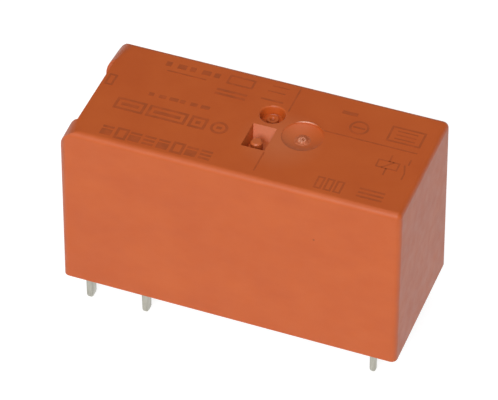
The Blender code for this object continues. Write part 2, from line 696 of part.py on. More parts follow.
def make_base():
    base = base_slab("base", 0, SEAL_HEIGHT, BASE_THICKNESS, BASE_CORNER_RADIUS)
    sunk = BASE_THICKNESS / 2
    join(base, base_slab("base_foot", SEAL_WIDTH, 0, SEAL_HEIGHT + OVERCUT / 2, BASE_CORNER_RADIUS / 2))

    shelf_under = PLATE_FOOT_Z + FIXED_SHELF_HEIGHT - SHEET / 2 - SEAT
    shelf_block = box("shelf_block",
                      (FIXED_PIN_X + SHEET / 2 + SLIP, -PLATE_HALF_WIDTH, sunk),
                      (FIXED_PLATE_X - SHEET / 2, PLATE_HALF_WIDTH, shelf_under))
    join(base, shelf_block)

    plate_back = COMMON_PIN_X + SHEET / 2 + SEAT
    post_inner = SPRING_RIVET_SPACING / 2 + SPRING_RIVET_HEAD + SLIP
    for side in (-1, 1):
        near, far = sorted((side * post_inner, side * PLATE_HALF_WIDTH))
        label = "front" if side < 0 else "rear"
        join(base, box(label + "_plate_post", (plate_back, near, sunk),
                       (BARRIER_X - SEAT, far, COMMON_TOP_Z - SHEET)))
        rail_y = side * (YOKE_WIDTH / 2 - YOKE_RAIL_WIDTH)
        near, far = sorted((rail_y, rail_y + side * YOKE_RAIL_WIDTH))
        join(base, box(label + "_yoke_rail",
                       (YOKE_BACK_X + YOKE_BEND_RADIUS + YOKE_SHEET / 2, near, sunk),
                       (FLANGE_OUTER_X - SLIP, far, BASE_THICKNESS + YOKE_RAIL_HEIGHT)))
    barrier_back = BARRIER_X + BARRIER_SHEET + SEAT
    join(base, box("barrier_rib", (barrier_back, -YOKE_WIDTH / 2, sunk),
                   (YOKE_BACK_X - SEAT, YOKE_WIDTH / 2, YOKE_BOTTOM_Z)))

    for side in (-1, 1):
        label = "front" if side < 0 else "rear"
        y = side * PIN_ROW_Y
        cut(base, pin_slot(label + "_fixed_slot", FIXED_PIN_X, y, SHEET, CONTACT_PIN_WIDTH),
            pin_slot(label + "_common_slot", COMMON_PIN_X, y, SHEET, CONTACT_PIN_WIDTH),
            pin_slot(label + "_coil_slot", COIL_PIN_X, y, COIL_PIN_SIDE, COIL_PIN_SIDE))
        cut(base, ejector_mark(label + "_ejector_left", YOKE_BACK_X, y),
            ejector_mark(label + "_ejector_right", FLANGE_OUTER_X, y))
    return keep(base, BLACK_BASE)


def make_sealing_compound():
    """A ring of resin in the groove between the base and the rim of the cover."""
    half_width = cavity_half_width(SEAL_HEIGHT) - SEAL_GAP
    low = (cavity_contact_end(SEAL_HEIGHT) + SEAL_GAP, -half_width, SEAT)
    high = (cavity_coil_end(SEAL_HEIGHT) - SEAL_GAP, half_width, SEAL_HEIGHT - SEAL_GAP)
    ring = box("sealing_compound", low, high, CAVITY_CORNER_RADIUS)
    hole = base_slab("seal_hole", SEAL_WIDTH - SEAL_GAP, -OVERCUT, SEAL_HEIGHT + OVERCUT,
                     BASE_CORNER_RADIUS / 2)
    cut(ring, hole)
    return keep(ring, AMBER_RESIN)


# Contact plates, leaf and contacts

def leg(y, width):
    """One pin of a stamped plate, as the points of its outline from left to right."""
    half = width / 2
    left = [(y - half, PIN_TIP_Z + PIN_TAPER)]
    right = [(y + half, PIN_TIP_Z + PIN_TAPER)]
    for share, level in PIN_TIP_STEPS:
        left.append((y - half * share, PIN_TIP_Z + PIN_TAPER * level))
        right.append((y + half * share, PIN_TIP_Z + PIN_TAPER * level))
    return left + right[::-1]


def two_legged_outline(neck_z, top_z, top_width):
    """A stamped plate with a pin at each side, narrowed above its neck."""
    inner = PIN_ROW_Y - CONTACT_PIN_WIDTH / 2
    half_top = top_width / 2
    return ([(-half_top, top_z), (-half_top, neck_z + (PLATE_HALF_WIDTH - half_top)),
             (-PLATE_HALF_WIDTH, neck_z)]
            + leg(-PIN_ROW_Y, CONTACT_PIN_WIDTH) + [(-inner, PLATE_FOOT_Z), (inner, PLATE_FOOT_Z)]
            + leg(PIN_ROW_Y, CONTACT_PIN_WIDTH)
            + [(PLATE_HALF_WIDTH, neck_z), (half_top, neck_z + (PLATE_HALF_WIDTH - half_top)),
               (half_top, top_z)])


def make_fixed_terminal():
    """A stamping with two pins, joggled inwards on a shelf, that carries the fixed contact."""
    shelf_z = PLATE_FOOT_Z + FIXED_SHELF_HEIGHT
    top_z = CONTACT_Z + CONTACT_HEAD_RADIUS + SHEET / 2
    path = [(FIXED_PIN_X, PIN_TIP_Z - OVERCUT), (FIXED_PIN_X, shelf_z), (FIXED_PLATE_X, shelf_z),
            (FIXED_PLATE_X, top_z)]
    terminal = plate("fixed_terminal", [bent_sheet(path, SHEET_BEND_RADIUS, SHEET)],
                     2 * PLATE_HALF_WIDTH + OVERCUT, FACING_Y)
    neck_z = shelf_z + SHEET
    outline = two_legged_outline(neck_z, top_z + OVERCUT, FIXED_PLATE_WIDTH)
    hole = circle((0, CONTACT_Z), CONTACT_SHANK_RADIUS + PRESS)
    middle_x = (FIXED_PIN_X + FIXED_PLATE_X) / 2
    width_x = FIXED_PLATE_X - FIXED_PIN_X + SHEET + 2 * OVERCUT
    front_view = plate("fixed_front_view", [outline, hole], width_x,
                       Matrix.Translation((middle_x, 0, 0)) @ FACING_X)
    combine(terminal, shape(front_view), "INTERSECT")
    return keep(terminal, TINNED_COPPER)


def spring_rivet_holes(height):
    return [circle((side * SPRING_RIVET_SPACING / 2, height), SPRING_RIVET_RADIUS + PRESS, 16)
            for side in (-1, 1)]


def make_common_terminal():
    """A flat stamping with two pins, to which the leaf is riveted."""
    rivet_z = (PLATE_FOOT_Z + COMMON_TOP_Z) / 2
    holes = spring_rivet_holes(rivet_z)
    neck_z = COMMON_TOP_Z - (PLATE_HALF_WIDTH - LEAF_ROOT_WIDTH / 2) - SHEET
    outline = two_legged_outline(neck_z, COMMON_TOP_Z, LEAF_ROOT_WIDTH)
    terminal = plate("common_terminal", [outline] + holes, SHEET,
                     Matrix.Translation((COMMON_PIN_X, 0, 0)) @ FACING_X)
    return keep(terminal, TINNED_COPPER)


def make_contact_spring():
    """The leaf. Its origin is the line where it leaves the common terminal and bends."""
    foot = PLATE_FOOT_Z + SLIP - COMMON_TOP_Z
    waist = (CONTACT_Z - COMMON_TOP_Z) / 2
    shoulder = CONTACT_Z + CONTACT_HEAD_RADIUS - COMMON_TOP_Z
    top = CARD_TOP_Z + SLIP - COMMON_TOP_Z
    root_half, half, tongue = LEAF_ROOT_WIDTH / 2, LEAF_WIDTH / 2, LEAF_TONGUE_WIDTH / 2
    outline = [(-root_half, foot), (root_half, foot), (root_half, waist / 2), (half, waist),
               (half, shoulder), (tongue, shoulder + (half - tongue) / 2), (tongue, top),
               (-tongue, top), (-tongue, shoulder + (half - tongue) / 2), (-half, shoulder),
               (-half, waist), (-root_half, waist / 2)]
    rivet_z = (PLATE_FOOT_Z - COMMON_TOP_Z) / 2
    holes = spring_rivet_holes(rivet_z)
    holes.append(circle((0, CONTACT_Z - COMMON_TOP_Z), CONTACT_SHANK_RADIUS + PRESS))
    leaf = plate("contact_spring", [filleted(outline, LEAF_CORNER_RADIUS, 2)] + holes, LEAF_SHEET,
                 Matrix.Translation((LEAF_X, 0, COMMON_TOP_Z)) @ FACING_X)
    return keep(leaf, SPRING_COPPER)


def contact_rivet(name, place, sheet):
    """A domed contact rivet; its local +Z points at the other contact, from the sheet's middle."""
    face = sheet / 2 + SEAT
    edge = face + CONTACT_HEAD_HEIGHT - CONTACT_DOME
    dome = (CONTACT_HEAD_RADIUS ** 2 + CONTACT_DOME ** 2) / (2 * CONTACT_DOME)
    steps = 4
    profile = []
    for step in range(steps + 1):
        radius = CONTACT_HEAD_RADIUS * step / steps
        sag = dome - math.sqrt(dome ** 2 - radius ** 2)
        profile.append((radius, edge + CONTACT_DOME - sag))
    tail_end = -face - CONTACT_TAIL_HEIGHT
    profile += [(CONTACT_HEAD_RADIUS, face), (CONTACT_SHANK_RADIUS, face),
                (CONTACT_SHANK_RADIUS, -face), (CONTACT_TAIL_RADIUS, -face),
                (CONTACT_TAIL_RADIUS * RIVET_CROWN, tail_end), (0, tail_end)]
    return keep(lathe(name, profile, place, 28), SILVER_CONTACT)


def make_contacts():
    in_leaf = Matrix.Translation((LEAF_X, 0, CONTACT_Z)) @ Matrix.Rotation(-math.pi / 2, 4, "Y")
    in_plate = Matrix.Translation((FIXED_PLATE_X, 0, CONTACT_Z)) @ ALONG_X
    contact_rivet("moving_contact", in_leaf, LEAF_SHEET)
    contact_rivet("fixed_contact", in_plate, SHEET)


def make_spring_rivet(name, side):
    """A small rivet through the leaf and the common terminal."""
    front = LEAF_X - LEAF_SHEET / 2 - SEAT
    back = COMMON_PIN_X + SHEET / 2 + SEAT
    head = SPRING_RIVET_HEAD
    crown = head * RIVET_CROWN
    profile = [(0, back + SPRING_RIVET_HEAD_HEIGHT), (crown, back + SPRING_RIVET_HEAD_HEIGHT),
               (head, back), (SPRING_RIVET_RADIUS, back), (SPRING_RIVET_RADIUS, front), (head, front),
               (crown, front - SPRING_RIVET_HEAD_HEIGHT), (0, front - SPRING_RIVET_HEAD_HEIGHT)]
    rivet_z = (PLATE_FOOT_Z + COMMON_TOP_Z) / 2
    place = Matrix.Translation((0, side * SPRING_RIVET_SPACING / 2, rivet_z)) @ ALONG_X
    return keep(lathe(name, profile, place, 16), TINNED_COPPER)


def make_insulation_barrier():
    """An upright wall; the card runs through its notch, and two noses stop the leaf."""
    half_width = cavity_half_width(ROOF_Z) - BARRIER_SIDE_GAP
    notch = CARD_WIDTH / 2 + SLIP
    sill = FLANGE_TOP_Z
    cheek = CARD_TOP_Z + BARRIER_CHEEK_HEIGHT
    outline = [(-half_width, PLATE_FOOT_Z), (half_width, PLATE_FOOT_Z), (half_width, cheek),
               (notch, cheek), (notch, sill), (-notch, sill), (-notch, cheek), (-half_width, cheek)]
    barrier = plate("insulation_barrier", [filleted(outline, BARRIER_CORNER_RADIUS, 2)],
                    BARRIER_SHEET,
                    Matrix.Translation((BARRIER_X + BARRIER_SHEET / 2, 0, 0)) @ FACING_X)
    nose_x = LEAF_X + LEAF_SHEET / 2 + SEAT
    nose_y = CONTACT_TAIL_RADIUS + SLIP
    for side in (-1, 1):
        near, far = sorted((side * nose_y, side * (nose_y + STOP_WIDTH)))
        label = "front" if side < 0 else "rear"
        join(barrier, box(label + "_stop", (nose_x, near, CONTACT_Z - STOP_HEIGHT / 2),
                          (BARRIER_X + BARRIER_SHEET / 2, far, CONTACT_Z + STOP_HEIGHT / 2)))
    return keep(barrier, BLACK_BASE)


# Magnet

def make_core():
    """Turned core: pole head at +X, and a spigot riveted over behind the yoke."""
    rivet_radius = (CORE_RADIUS + CORE_SPIGOT_RADIUS) / 2
    shoulder = YOKE_BACK_X + YOKE_SHEET + SEAT
    behind = YOKE_BACK_X - SEAT
    edge = 0.1 * POLE_RADIUS
    profile = [(0, POLE_FACE_X), (POLE_RADIUS - edge, POLE_FACE_X), (POLE_RADIUS, POLE_FACE_X - edge),
               (POLE_RADIUS, POLE_FACE_X - POLE_THICKNESS), (CORE_RADIUS, POLE_FACE_X - POLE_THICKNESS),
               (CORE_RADIUS, shoulder), (CORE_SPIGOT_RADIUS, shoulder), (CORE_SPIGOT_RADIUS, behind),
               (rivet_radius, behind), (rivet_radius * RIVET_CROWN, behind - CORE_RIVET_HEIGHT),
               (0, behind - CORE_RIVET_HEIGHT)]
    return keep(lathe("core", profile, Matrix.Translation((0, 0, COIL_Z)) @ ALONG_X, 36), SOFT_IRON)


def make_yoke():
    """Bent L: the short leg holds the core, the long leg runs under the coil to the armature."""
    half = YOKE_SHEET / 2
    corner = (YOKE_BACK_X + half, YOKE_BOTTOM_Z + half)
    path = [(POLE_FACE_X, corner[1]), corner, (corner[0], FLANGE_TOP_Z - SEAT)]
    yoke = plate("yoke", [bent_sheet(path, YOKE_BEND_RADIUS, YOKE_SHEET)], YOKE_WIDTH, FACING_Y)
    bore_top = YOKE_BACK_X + YOKE_SHEET + OVERCUT
    bore_foot = YOKE_BACK_X - OVERCUT
    bore_radius = CORE_SPIGOT_RADIUS + PRESS
    bore = [(0, bore_top), (bore_radius, bore_top), (bore_radius, bore_foot), (0, bore_foot)]
    cut(yoke, lathe("core_bore", bore, Matrix.Translation((0, 0, COIL_Z)) @ ALONG_X, 32))
    neck_start = FLANGE_OUTER_X - SLIP
    for side in (-1, 1):
        near, far = sorted((side * YOKE_NECK_WIDTH / 2, side * (YOKE_WIDTH / 2 + OVERCUT)))
        label = "front" if side < 0 else "rear"
        cut(yoke, box(label + "_neck_cut", (neck_start, near, YOKE_BOTTOM_Z - OVERCUT),
                      (POLE_FACE_X + OVERCUT, far, YOKE_TOP_Z + OVERCUT)))
    return keep(yoke, SOFT_IRON)


def make_armature():
    """Stamped plate on the yoke's lower edge, with a thinned tongue that drives the card."""
    foot = ARMATURE_HEEL_GAP
    neck_top = POST_TOP_Z + ARMATURE_ABOVE_POST - YOKE_BOTTOM_Z
    head_half = ARMATURE_HEAD_WIDTH / 2
    neck_half = ARMATURE_NECK_WIDTH / 2
    tongue = ARMATURE_TONGUE_WIDTH / 2
    head_low = neck_top + (head_half - neck_half) / 2
    head_top = FLANGE_TOP_Z - YOKE_BOTTOM_Z - ARMATURE_SHEET
    top = (TONGUE_TOP_Z - YOKE_BOTTOM_Z) / math.cos(SWING)
    outline = [(-neck_half, foot), (neck_half, foot), (neck_half, neck_top), (head_half, head_low),
               (head_half, head_top - ARMATURE_SHEET), (head_half - ARMATURE_SHEET, head_top),
               (tongue, head_top), (tongue, top), (-tongue, top), (-tongue, head_top),
               (-head_half + ARMATURE_SHEET, head_top), (-head_half, head_top - ARMATURE_SHEET),
               (-head_half, head_low), (-neck_half, neck_top)]
    middle = Matrix.Translation((ARMATURE_SHEET / 2, 0, 0))
    outline = filleted(outline, ARMATURE_CORNER_RADIUS, 2)
    armature = plate("armature", [outline], ARMATURE_SHEET, FACING_Z)
    armature.data.transform(middle @ FACING_X)
    armature.location = (PIVOT_X, 0, YOKE_BOTTOM_Z)
    armature.rotation_euler = (0, SWING, 0)
    coining = box("tongue_coining", (ARMATURE_TONGUE_SHEET, -head_half, head_top + SLIP),
                  (2 * ARMATURE_SHEET, head_half, top + OVERCUT))
    coining.location = armature.location
    coining.rotation_euler = armature.rotation_euler
    cut(armature, coining)
    return keep(armature, SOFT_IRON)


def make_armature_clip():
    """Strip clamped under the yoke; its lip stands behind the armature's heel."""
    level = BASE_THICKNESS + SEAT + CLIP_SHEET / 2
    heel_x = PIVOT_X + ARMATURE_SHEET / math.cos(SWING)
    lip_top = YOKE_BOTTOM_Z + CLIP_LIP
    foot_x = heel_x + SEAT + CLIP_SHEET / 2
    lip_x = foot_x + (lip_top - level) * math.tan(SWING)
    path = [(POLE_FACE_X - CLIP_TAIL, level), (foot_x, level), (lip_x, lip_top)]
    strip = bent_sheet(path, CLIP_BEND_RADIUS, CLIP_SHEET, 3)
    clip = plate("armature_clip", [strip], CLIP_WIDTH, FACING_Y)
    return keep(clip, SPRING_COPPER)


# Coil

def flange(name, low_x, thickness):
    half_width, half_height = FLANGE_HALF_WIDTH, FLANGE_HALF_HEIGHT
    outline = filleted(rectangle((-half_width, -half_height), (half_width, half_height)),
                       FLANGE_CORNER_RADIUS)
    place = Matrix.Translation((low_x + thickness / 2, 0, COIL_Z)) @ FACING_X
    return plate(name, [outline], thickness, place)


def card_guide(name, low_x, high_x, side):
    """A lug on a flange that guides one side of the card."""
    inner_y = CARD_WIDTH / 2 + SLIP
    near, far = sorted((side * inner_y, side * (inner_y + CARD_GUIDE_SHEET)))
    return box(name, (low_x, near, FLANGE_TOP_Z - CARD_GUIDE_SHEET),
               (high_x, far, FLANGE_TOP_Z + CARD_GUIDE_HEIGHT))


def make_bobbin():
    """Coil former: two flanges on a barrel, terminal blocks, card guides and lead notches."""
    bobbin = flange("bobbin", FLANGE_OUTER_X, FLANGE_OUTER_SHEET)
    join(bobbin, flange("inner_flange", FLANGE_INNER_X, FLANGE_INNER_SHEET))
    barrel_top = FLANGE_OUTER_X + FLANGE_OUTER_SHEET / 2
    barrel_foot = FLANGE_INNER_X + FLANGE_INNER_SHEET / 2
    barrel = [(0, barrel_top), (BARREL_RADIUS, barrel_top), (BARREL_RADIUS, barrel_foot), (0, barrel_foot)]
    along_coil = Matrix.Translation((0, 0, COIL_Z)) @ ALONG_X
    join(bobbin, lathe("barrel", barrel, along_coil, 36))
    block_inner = YOKE_NECK_WIDTH / 2 + 2 * SLIP
    for side in (-1, 1):
        label = "front" if side < 0 else "rear"
        near, far = sorted((side * block_inner, side * (block_inner + TERMINAL_BLOCK_WIDTH)))
        join(bobbin, box(label + "_block", (FLANGE_OUTER_X + SLIP, near, PLATE_FOOT_Z),
                         (COIL_PIN_X + COIL_PIN_SIDE, far, BLOCK_TOP_Z)))
        inner_low = FLANGE_INNER_X + SLIP / 2
        inner_high = FLANGE_INNER_X + FLANGE_INNER_SHEET - SLIP / 2
        outer_low = FLANGE_OUTER_X + SLIP / 2
        outer_high = FLANGE_OUTER_FACE_X - SLIP / 2
        join(bobbin, card_guide(label + "_inner_guide", inner_low, inner_high, side),
             card_guide(label + "_outer_guide", outer_low, outer_high, side))
    pole_seat = POLE_FACE_X - POLE_THICKNESS - SEAT
    bore = [(0, POLE_FACE_X), (POLE_RADIUS + SEAT, POLE_FACE_X), (POLE_RADIUS + SEAT, pole_seat),
            (CORE_RADIUS + SEAT, pole_seat), (CORE_RADIUS + SEAT, FLANGE_INNER_X - OVERCUT),
            (0, FLANGE_INNER_X - OVERCUT)]
    cut(bobbin, lathe("bobbin_bore", bore, along_coil, 36))
    relief = YOKE_BEND_RADIUS - YOKE_SHEET / 2 + SEAT
    cut(bobbin, box("bend_relief", (FLANGE_INNER_X - OVERCUT, -FLANGE_HALF_WIDTH - OVERCUT,
                                    FLANGE_BOTTOM_Z - OVERCUT),
                    (FLANGE_INNER_X + relief, FLANGE_HALF_WIDTH + OVERCUT, FLANGE_BOTTOM_Z + relief)))
    for side in (-1, 1):
        label = "front" if side < 0 else "rear"
        half = COIL_PIN_SIDE / 2 + PRESS
        y = side * PIN_ROW_Y
        cut(bobbin, box(label + "_pin_hole", (COIL_PIN_X - half, y - half, 0),
                        (COIL_PIN_X + half, y + half, BLOCK_TOP_Z + OVERCUT)))
        notch_inner = LEAD_Y - 2 * LEAD_DIAMETER
        near, far = sorted((side * notch_inner, side * (FLANGE_HALF_WIDTH + OVERCUT)))
        cut(bobbin, box(label + "_lead_notch", (FLANGE_OUTER_X - OVERCUT, near, BLOCK_TOP_Z + SLIP),
                        (FLANGE_OUTER_FACE_X + OVERCUT, far,
                         BLOCK_TOP_Z + SLIP + LEAD_NOTCH * LEAD_DIAMETER)))
    return keep(bobbin, NATURAL_BOBBIN)


def make_coil_winding():
    inner = BARREL_RADIUS + SEAT
    edge = WINDING_BELOW_FLANGE
    profile = [(inner, WINDING_END_X), (WINDING_RADIUS - edge, WINDING_END_X),
               (WINDING_RADIUS, WINDING_END_X - edge), (WINDING_RADIUS, WINDING_START_X + edge),
               (WINDING_RADIUS - edge, WINDING_START_X), (inner, WINDING_START_X)]
    place = Matrix.Translation((0, 0, COIL_Z)) @ ALONG_X
    return keep(lathe("coil_winding", profile, place, 48, closed=True), ENAMELLED_WIRE)


def make_coil_terminal(name, side):
    pin = blade(name, (COIL_PIN_X, side * PIN_ROW_Y), COIL_PIN_SIDE, COIL_PIN_SIDE, POST_TOP_Z, PIN_TIP_Z,
                PIN_TAPER)
    return keep(pin, TINNED_COPPER)


def make_coil_lead(name, side):
    """One end of the winding: off its surface, through the flange's notch, round the coil pin."""
    radius = WINDING_RADIUS + SEAT + LEAD_DIAMETER / 2
    level = BLOCK_TOP_Z + SLIP + 1.5 * LEAD_DIAMETER
    start_angle = math.asin((COIL_Z - level - 4 * LEAD_DIAMETER) / radius)
    start_y = radius * math.cos(start_angle)
    start_z = COIL_Z - radius * math.sin(start_angle)
    route = [(WINDING_END_X - 4 * LEAD_DIAMETER, start_y, start_z),
             (WINDING_END_X - 2 * LEAD_DIAMETER, LEAD_Y, level + LEAD_DIAMETER),
             (FLANGE_OUTER_X, LEAD_Y, level), (FLANGE_OUTER_FACE_X + LEAD_DIAMETER, LEAD_Y, level)]
    wrap = COIL_PIN_SIDE * math.sqrt(0.5) + SEAT + LEAD_DIAMETER / 2
    steps = 12
    for step in range(int(LEAD_TURNS * steps) + 1):
        angle = math.pi / 2 - 2 * math.pi * step / steps
        route.append((COIL_PIN_X + wrap * math.cos(angle), PIN_ROW_Y + wrap * math.sin(angle),
                      level + LEAD_PITCH * LEAD_DIAMETER * step / steps))
    return keep(wire(name, [(x, side * y, z) for x, y, z in route], LEAD_DIAMETER), ENAMELLED_WIRE)


# Slide

def make_actuator_card():
    """Flat slide: a slot for the leaf's tongue, a window, and a slot for the armature's tongue."""
    tilt = CARD_THICKNESS / 2 * math.tan(LEAF_FLEX)
    leaf_half = LEAF_SHEET / 2 + tilt + SEAT
    tongue_low = PIVOT_X + (CARD_BOTTOM_Z - YOKE_BOTTOM_Z) * math.tan(SWING) - SEAT
    tongue_high = (PIVOT_X + (CARD_TOP_Z - YOKE_BOTTOM_Z) * math.tan(SWING)
                   + ARMATURE_TONGUE_SHEET / math.cos(SWING) + SEAT)
    low_x = LEAF_X - leaf_half - CARD_END_WALL
    high_x = tongue_high + CARD_END_WALL
    half, end_half = CARD_WIDTH / 2, CARD_END_WIDTH / 2
    waist = BARRIER_X + BARRIER_SHEET + BARRIER_TO_YOKE + CARD_TRAVEL
    outline = [(low_x, -end_half), (waist, -end_half), (waist + SHEET, -half), (high_x, -half),
               (high_x, half), (waist + SHEET, half), (waist, end_half), (low_x, end_half)]
    leaf_slot = rectangle((LEAF_X - leaf_half, -LEAF_TONGUE_WIDTH / 2 - SLIP),
                          (LEAF_X + leaf_half, LEAF_TONGUE_WIDTH / 2 + SLIP))
    tongue_slot = rectangle((tongue_low, -ARMATURE_TONGUE_WIDTH / 2 - SLIP),
                            (tongue_high, ARMATURE_TONGUE_WIDTH / 2 + SLIP))
    window = filleted(rectangle((WINDING_START_X, -CARD_WINDOW_WIDTH / 2),
                                (WINDING_END_X - CARD_WINDOW_WIDTH / 2, CARD_WINDOW_WIDTH / 2)),
                      CARD_WINDOW_WIDTH * WINDOW_CORNER_SHARE)
    card = plate("actuator_card", [filleted(outline, CARD_CORNER_RADIUS, 3), leaf_slot, tongue_slot, window],
                 CARD_THICKNESS, Matrix.Translation((0, 0, CARD_MIDDLE_Z)))
    return keep(card, WHITE_CARD)


def build():
    make_cover()
    make_base()
    make_sealing_compound()
    make_fixed_terminal()
    make_common_terminal()
    make_contact_spring()
    make_contacts()
    make_insulation_barrier()
    make_core()
    make_yoke()
    make_armature()
    make_armature_clip()
    make_bobbin()
    make_coil_winding()
    make_actuator_card()
    for side, label in ((-1, "front"), (1, "rear")):
        make_spring_rivet("spring_rivet_" + label, side)
        make_coil_terminal("coil_terminal_" + label, side)
        make_coil_lead("coil_lead_" + label, side)


build()
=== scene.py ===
# %% [markdown]
# # Dressing a small power relay
# The relay is a closed, moulded block on six tinned pins, made to be soldered into a circuit board.
# Its solids are already built, so this lesson loads them, lights them, eases their edges, gives each
# piece the finish of the real material and adds the small things that the solids leave out. Blender's
# units are metres, with Z up and the front facing -Y. Small sizes are written in millimetres.

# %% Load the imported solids
import math
import random

import bmesh
import bpy
from mathutils import Matrix, Vector


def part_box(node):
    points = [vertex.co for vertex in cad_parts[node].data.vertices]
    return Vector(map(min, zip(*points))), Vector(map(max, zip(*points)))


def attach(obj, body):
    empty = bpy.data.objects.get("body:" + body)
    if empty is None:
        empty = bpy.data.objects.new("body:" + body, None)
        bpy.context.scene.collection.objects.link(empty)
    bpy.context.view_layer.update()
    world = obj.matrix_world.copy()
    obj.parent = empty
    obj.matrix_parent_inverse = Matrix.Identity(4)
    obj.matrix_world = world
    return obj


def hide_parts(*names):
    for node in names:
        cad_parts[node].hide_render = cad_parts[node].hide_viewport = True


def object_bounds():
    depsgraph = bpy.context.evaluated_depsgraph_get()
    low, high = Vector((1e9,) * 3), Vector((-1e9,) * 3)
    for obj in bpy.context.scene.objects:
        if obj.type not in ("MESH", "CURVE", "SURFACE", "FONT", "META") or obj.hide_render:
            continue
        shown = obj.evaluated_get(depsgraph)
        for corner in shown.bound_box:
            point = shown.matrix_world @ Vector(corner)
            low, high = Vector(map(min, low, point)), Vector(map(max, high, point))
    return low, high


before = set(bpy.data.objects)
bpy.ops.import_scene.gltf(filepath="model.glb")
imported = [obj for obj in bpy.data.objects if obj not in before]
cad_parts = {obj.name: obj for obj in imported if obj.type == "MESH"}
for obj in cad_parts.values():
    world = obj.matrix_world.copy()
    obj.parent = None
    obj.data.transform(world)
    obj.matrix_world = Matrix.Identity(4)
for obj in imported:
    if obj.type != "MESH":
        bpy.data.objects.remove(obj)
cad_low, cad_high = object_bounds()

MM = 0.001
print("solids:", len(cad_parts), "size in mm:", [round(v / MM, 2) for v in cad_high - cad_low])

# %% [markdown]
# ## The camera
# The photograph looks down on the relay from its front right corner with a long lens, so parallel
# edges stay nearly parallel. A camera can be placed by hand, but here its turn, height, distance and
# lens were worked out from edges measured in the photograph, which keeps the proportions honest.

# %% Camera
PHOTO_WIDTH = 498
VIEW_TURN = math.radians(21.0584)
VIEW_HEIGHT = math.radians(42.5978)
VIEW_ROLL = math.radians(-0.1504)
VIEW_DISTANCE = 265.2424 * MM
VIEW_RIGHT = -0.4734 * MM
VIEW_UP = 5.5911 * MM
FOCAL_PIXELS = 3204.3
SENSOR = 36.0

backward = Vector((math.sin(VIEW_TURN) * math.cos(VIEW_HEIGHT),
                   -math.cos(VIEW_TURN) * math.cos(VIEW_HEIGHT),
                   math.sin(VIEW_HEIGHT)))
level_right = Vector((math.cos(VIEW_TURN), math.sin(VIEW_TURN), 0))
level_up = backward.cross(level_right)
right = level_right * math.cos(VIEW_ROLL) + level_up * math.sin(VIEW_ROLL)
up = level_up * math.cos(VIEW_ROLL) - level_right * math.sin(VIEW_ROLL)

lens = bpy.data.cameras.new("camera")
lens.sensor_width = SENSOR
lens.lens = SENSOR * FOCAL_PIXELS / PHOTO_WIDTH
lens.clip_start = 0.01
lens.clip_end = 10.0
camera = bpy.data.objects.new("camera", lens)
bpy.context.scene.collection.objects.link(camera)
camera.matrix_world = Matrix((
    (right.x, up.x, backward.x, 0), (right.y, up.y, backward.y, 0),
    (right.z, up.z, backward.z, 0), (0, 0, 0, 1)))
camera.location = right * VIEW_RIGHT + up * VIEW_UP + backward * VIEW_DISTANCE
bpy.context.scene.camera = camera
print("lens in mm:", round(lens.lens, 1))

# %% [markdown]
# ## The floor
# The relay stands on its pins, so the floor lies at their tips. Product photographs on white use a
# sweep: paper that lies flat under the object and curves up behind it, with no line where the floor
# ends. Here the sweep goes all the way round, so that every side of the relay can be looked at. It
# is one outline turned about Z, and it stays low, so that the cover mirrors a dim room above it.

# %% Floor
FLOOR_FLAT = 0.80
FLOOR_BEND = 0.20
BEND_STEPS = 12
TURN_STEPS = 96
FLOOR_WELD = 1e-5

def sweep_floor(name, foot):
    """A round floor that curves up all round."""
    outline = [(0, foot), (FLOOR_FLAT, foot)]
    for step in range(1, BEND_STEPS + 1):
        turn = math.pi / 2 * step / BEND_STEPS
        outline.append((FLOOR_FLAT + FLOOR_BEND * math.sin(turn), foot + FLOOR_BEND * (1 - math.cos(turn))))
    bm = bmesh.new()
    verts = [bm.verts.new((x, 0, z)) for x, z in outline]
    edges = [bm.edges.new(pair) for pair in zip(verts, verts[1:])]
    bmesh.ops.spin(bm, geom=verts + edges, cent=(0, 0, 0), axis=(0, 0, 1), angle=2 * math.pi,
                   steps=TURN_STEPS)
    bmesh.ops.remove_doubles(bm, verts=bm.verts, dist=FLOOR_WELD)
    bmesh.ops.recalc_face_normals(bm, faces=bm.faces)
    for face in bm.faces:
        face.smooth = True
    mesh = bpy.data.meshes.new(name)
    bm.to_mesh(mesh)
    bm.free()
    sweep = bpy.data.objects.new(name, mesh)
    bpy.context.scene.collection.objects.link(sweep)
    return sweep

floor = sweep_floor("floor", cad_low.z)
print("floor at", round(cad_low.z / MM, 2), "mm,", len(floor.data.polygons), "faces")

# %% [markdown]
# ## White paper that still takes a shadow
# Turning up the lamps until the paper is white would bleach the relay. So the paper gives a little
# light of its own, only to the camera, to reflections and through glass. All other rays meet an
# ordinary pale surface, and the light on the relay stays as the lamps make it.

# %% Paper
PAPER_GREY = 0.80
SEEN_GREY = 0.30
SEEN_GLOW = 0.88

def seen_rays(tree):
    """1 for rays from the camera, from a reflection or through glass, and 0 for all others."""
    path = tree.nodes.new("ShaderNodeLightPath")
    seen = path.outputs["Is Camera Ray"]
    for kind in ("Is Glossy Ray", "Is Transmission Ray"):
        either = tree.nodes.new("ShaderNodeMath")
        either.operation = "MAXIMUM"
        tree.links.new(seen, either.inputs[0])
        tree.links.new(path.outputs[kind], either.inputs[1])
        seen = either.outputs[0]
    return seen

def diffuse(tree, grey):
    """A plain matt surface of this grey."""
    node = tree.nodes.new("ShaderNodeBsdfDiffuse")
    node.inputs["Color"].default_value = (grey, grey, grey, 1)
    return node.outputs[0]

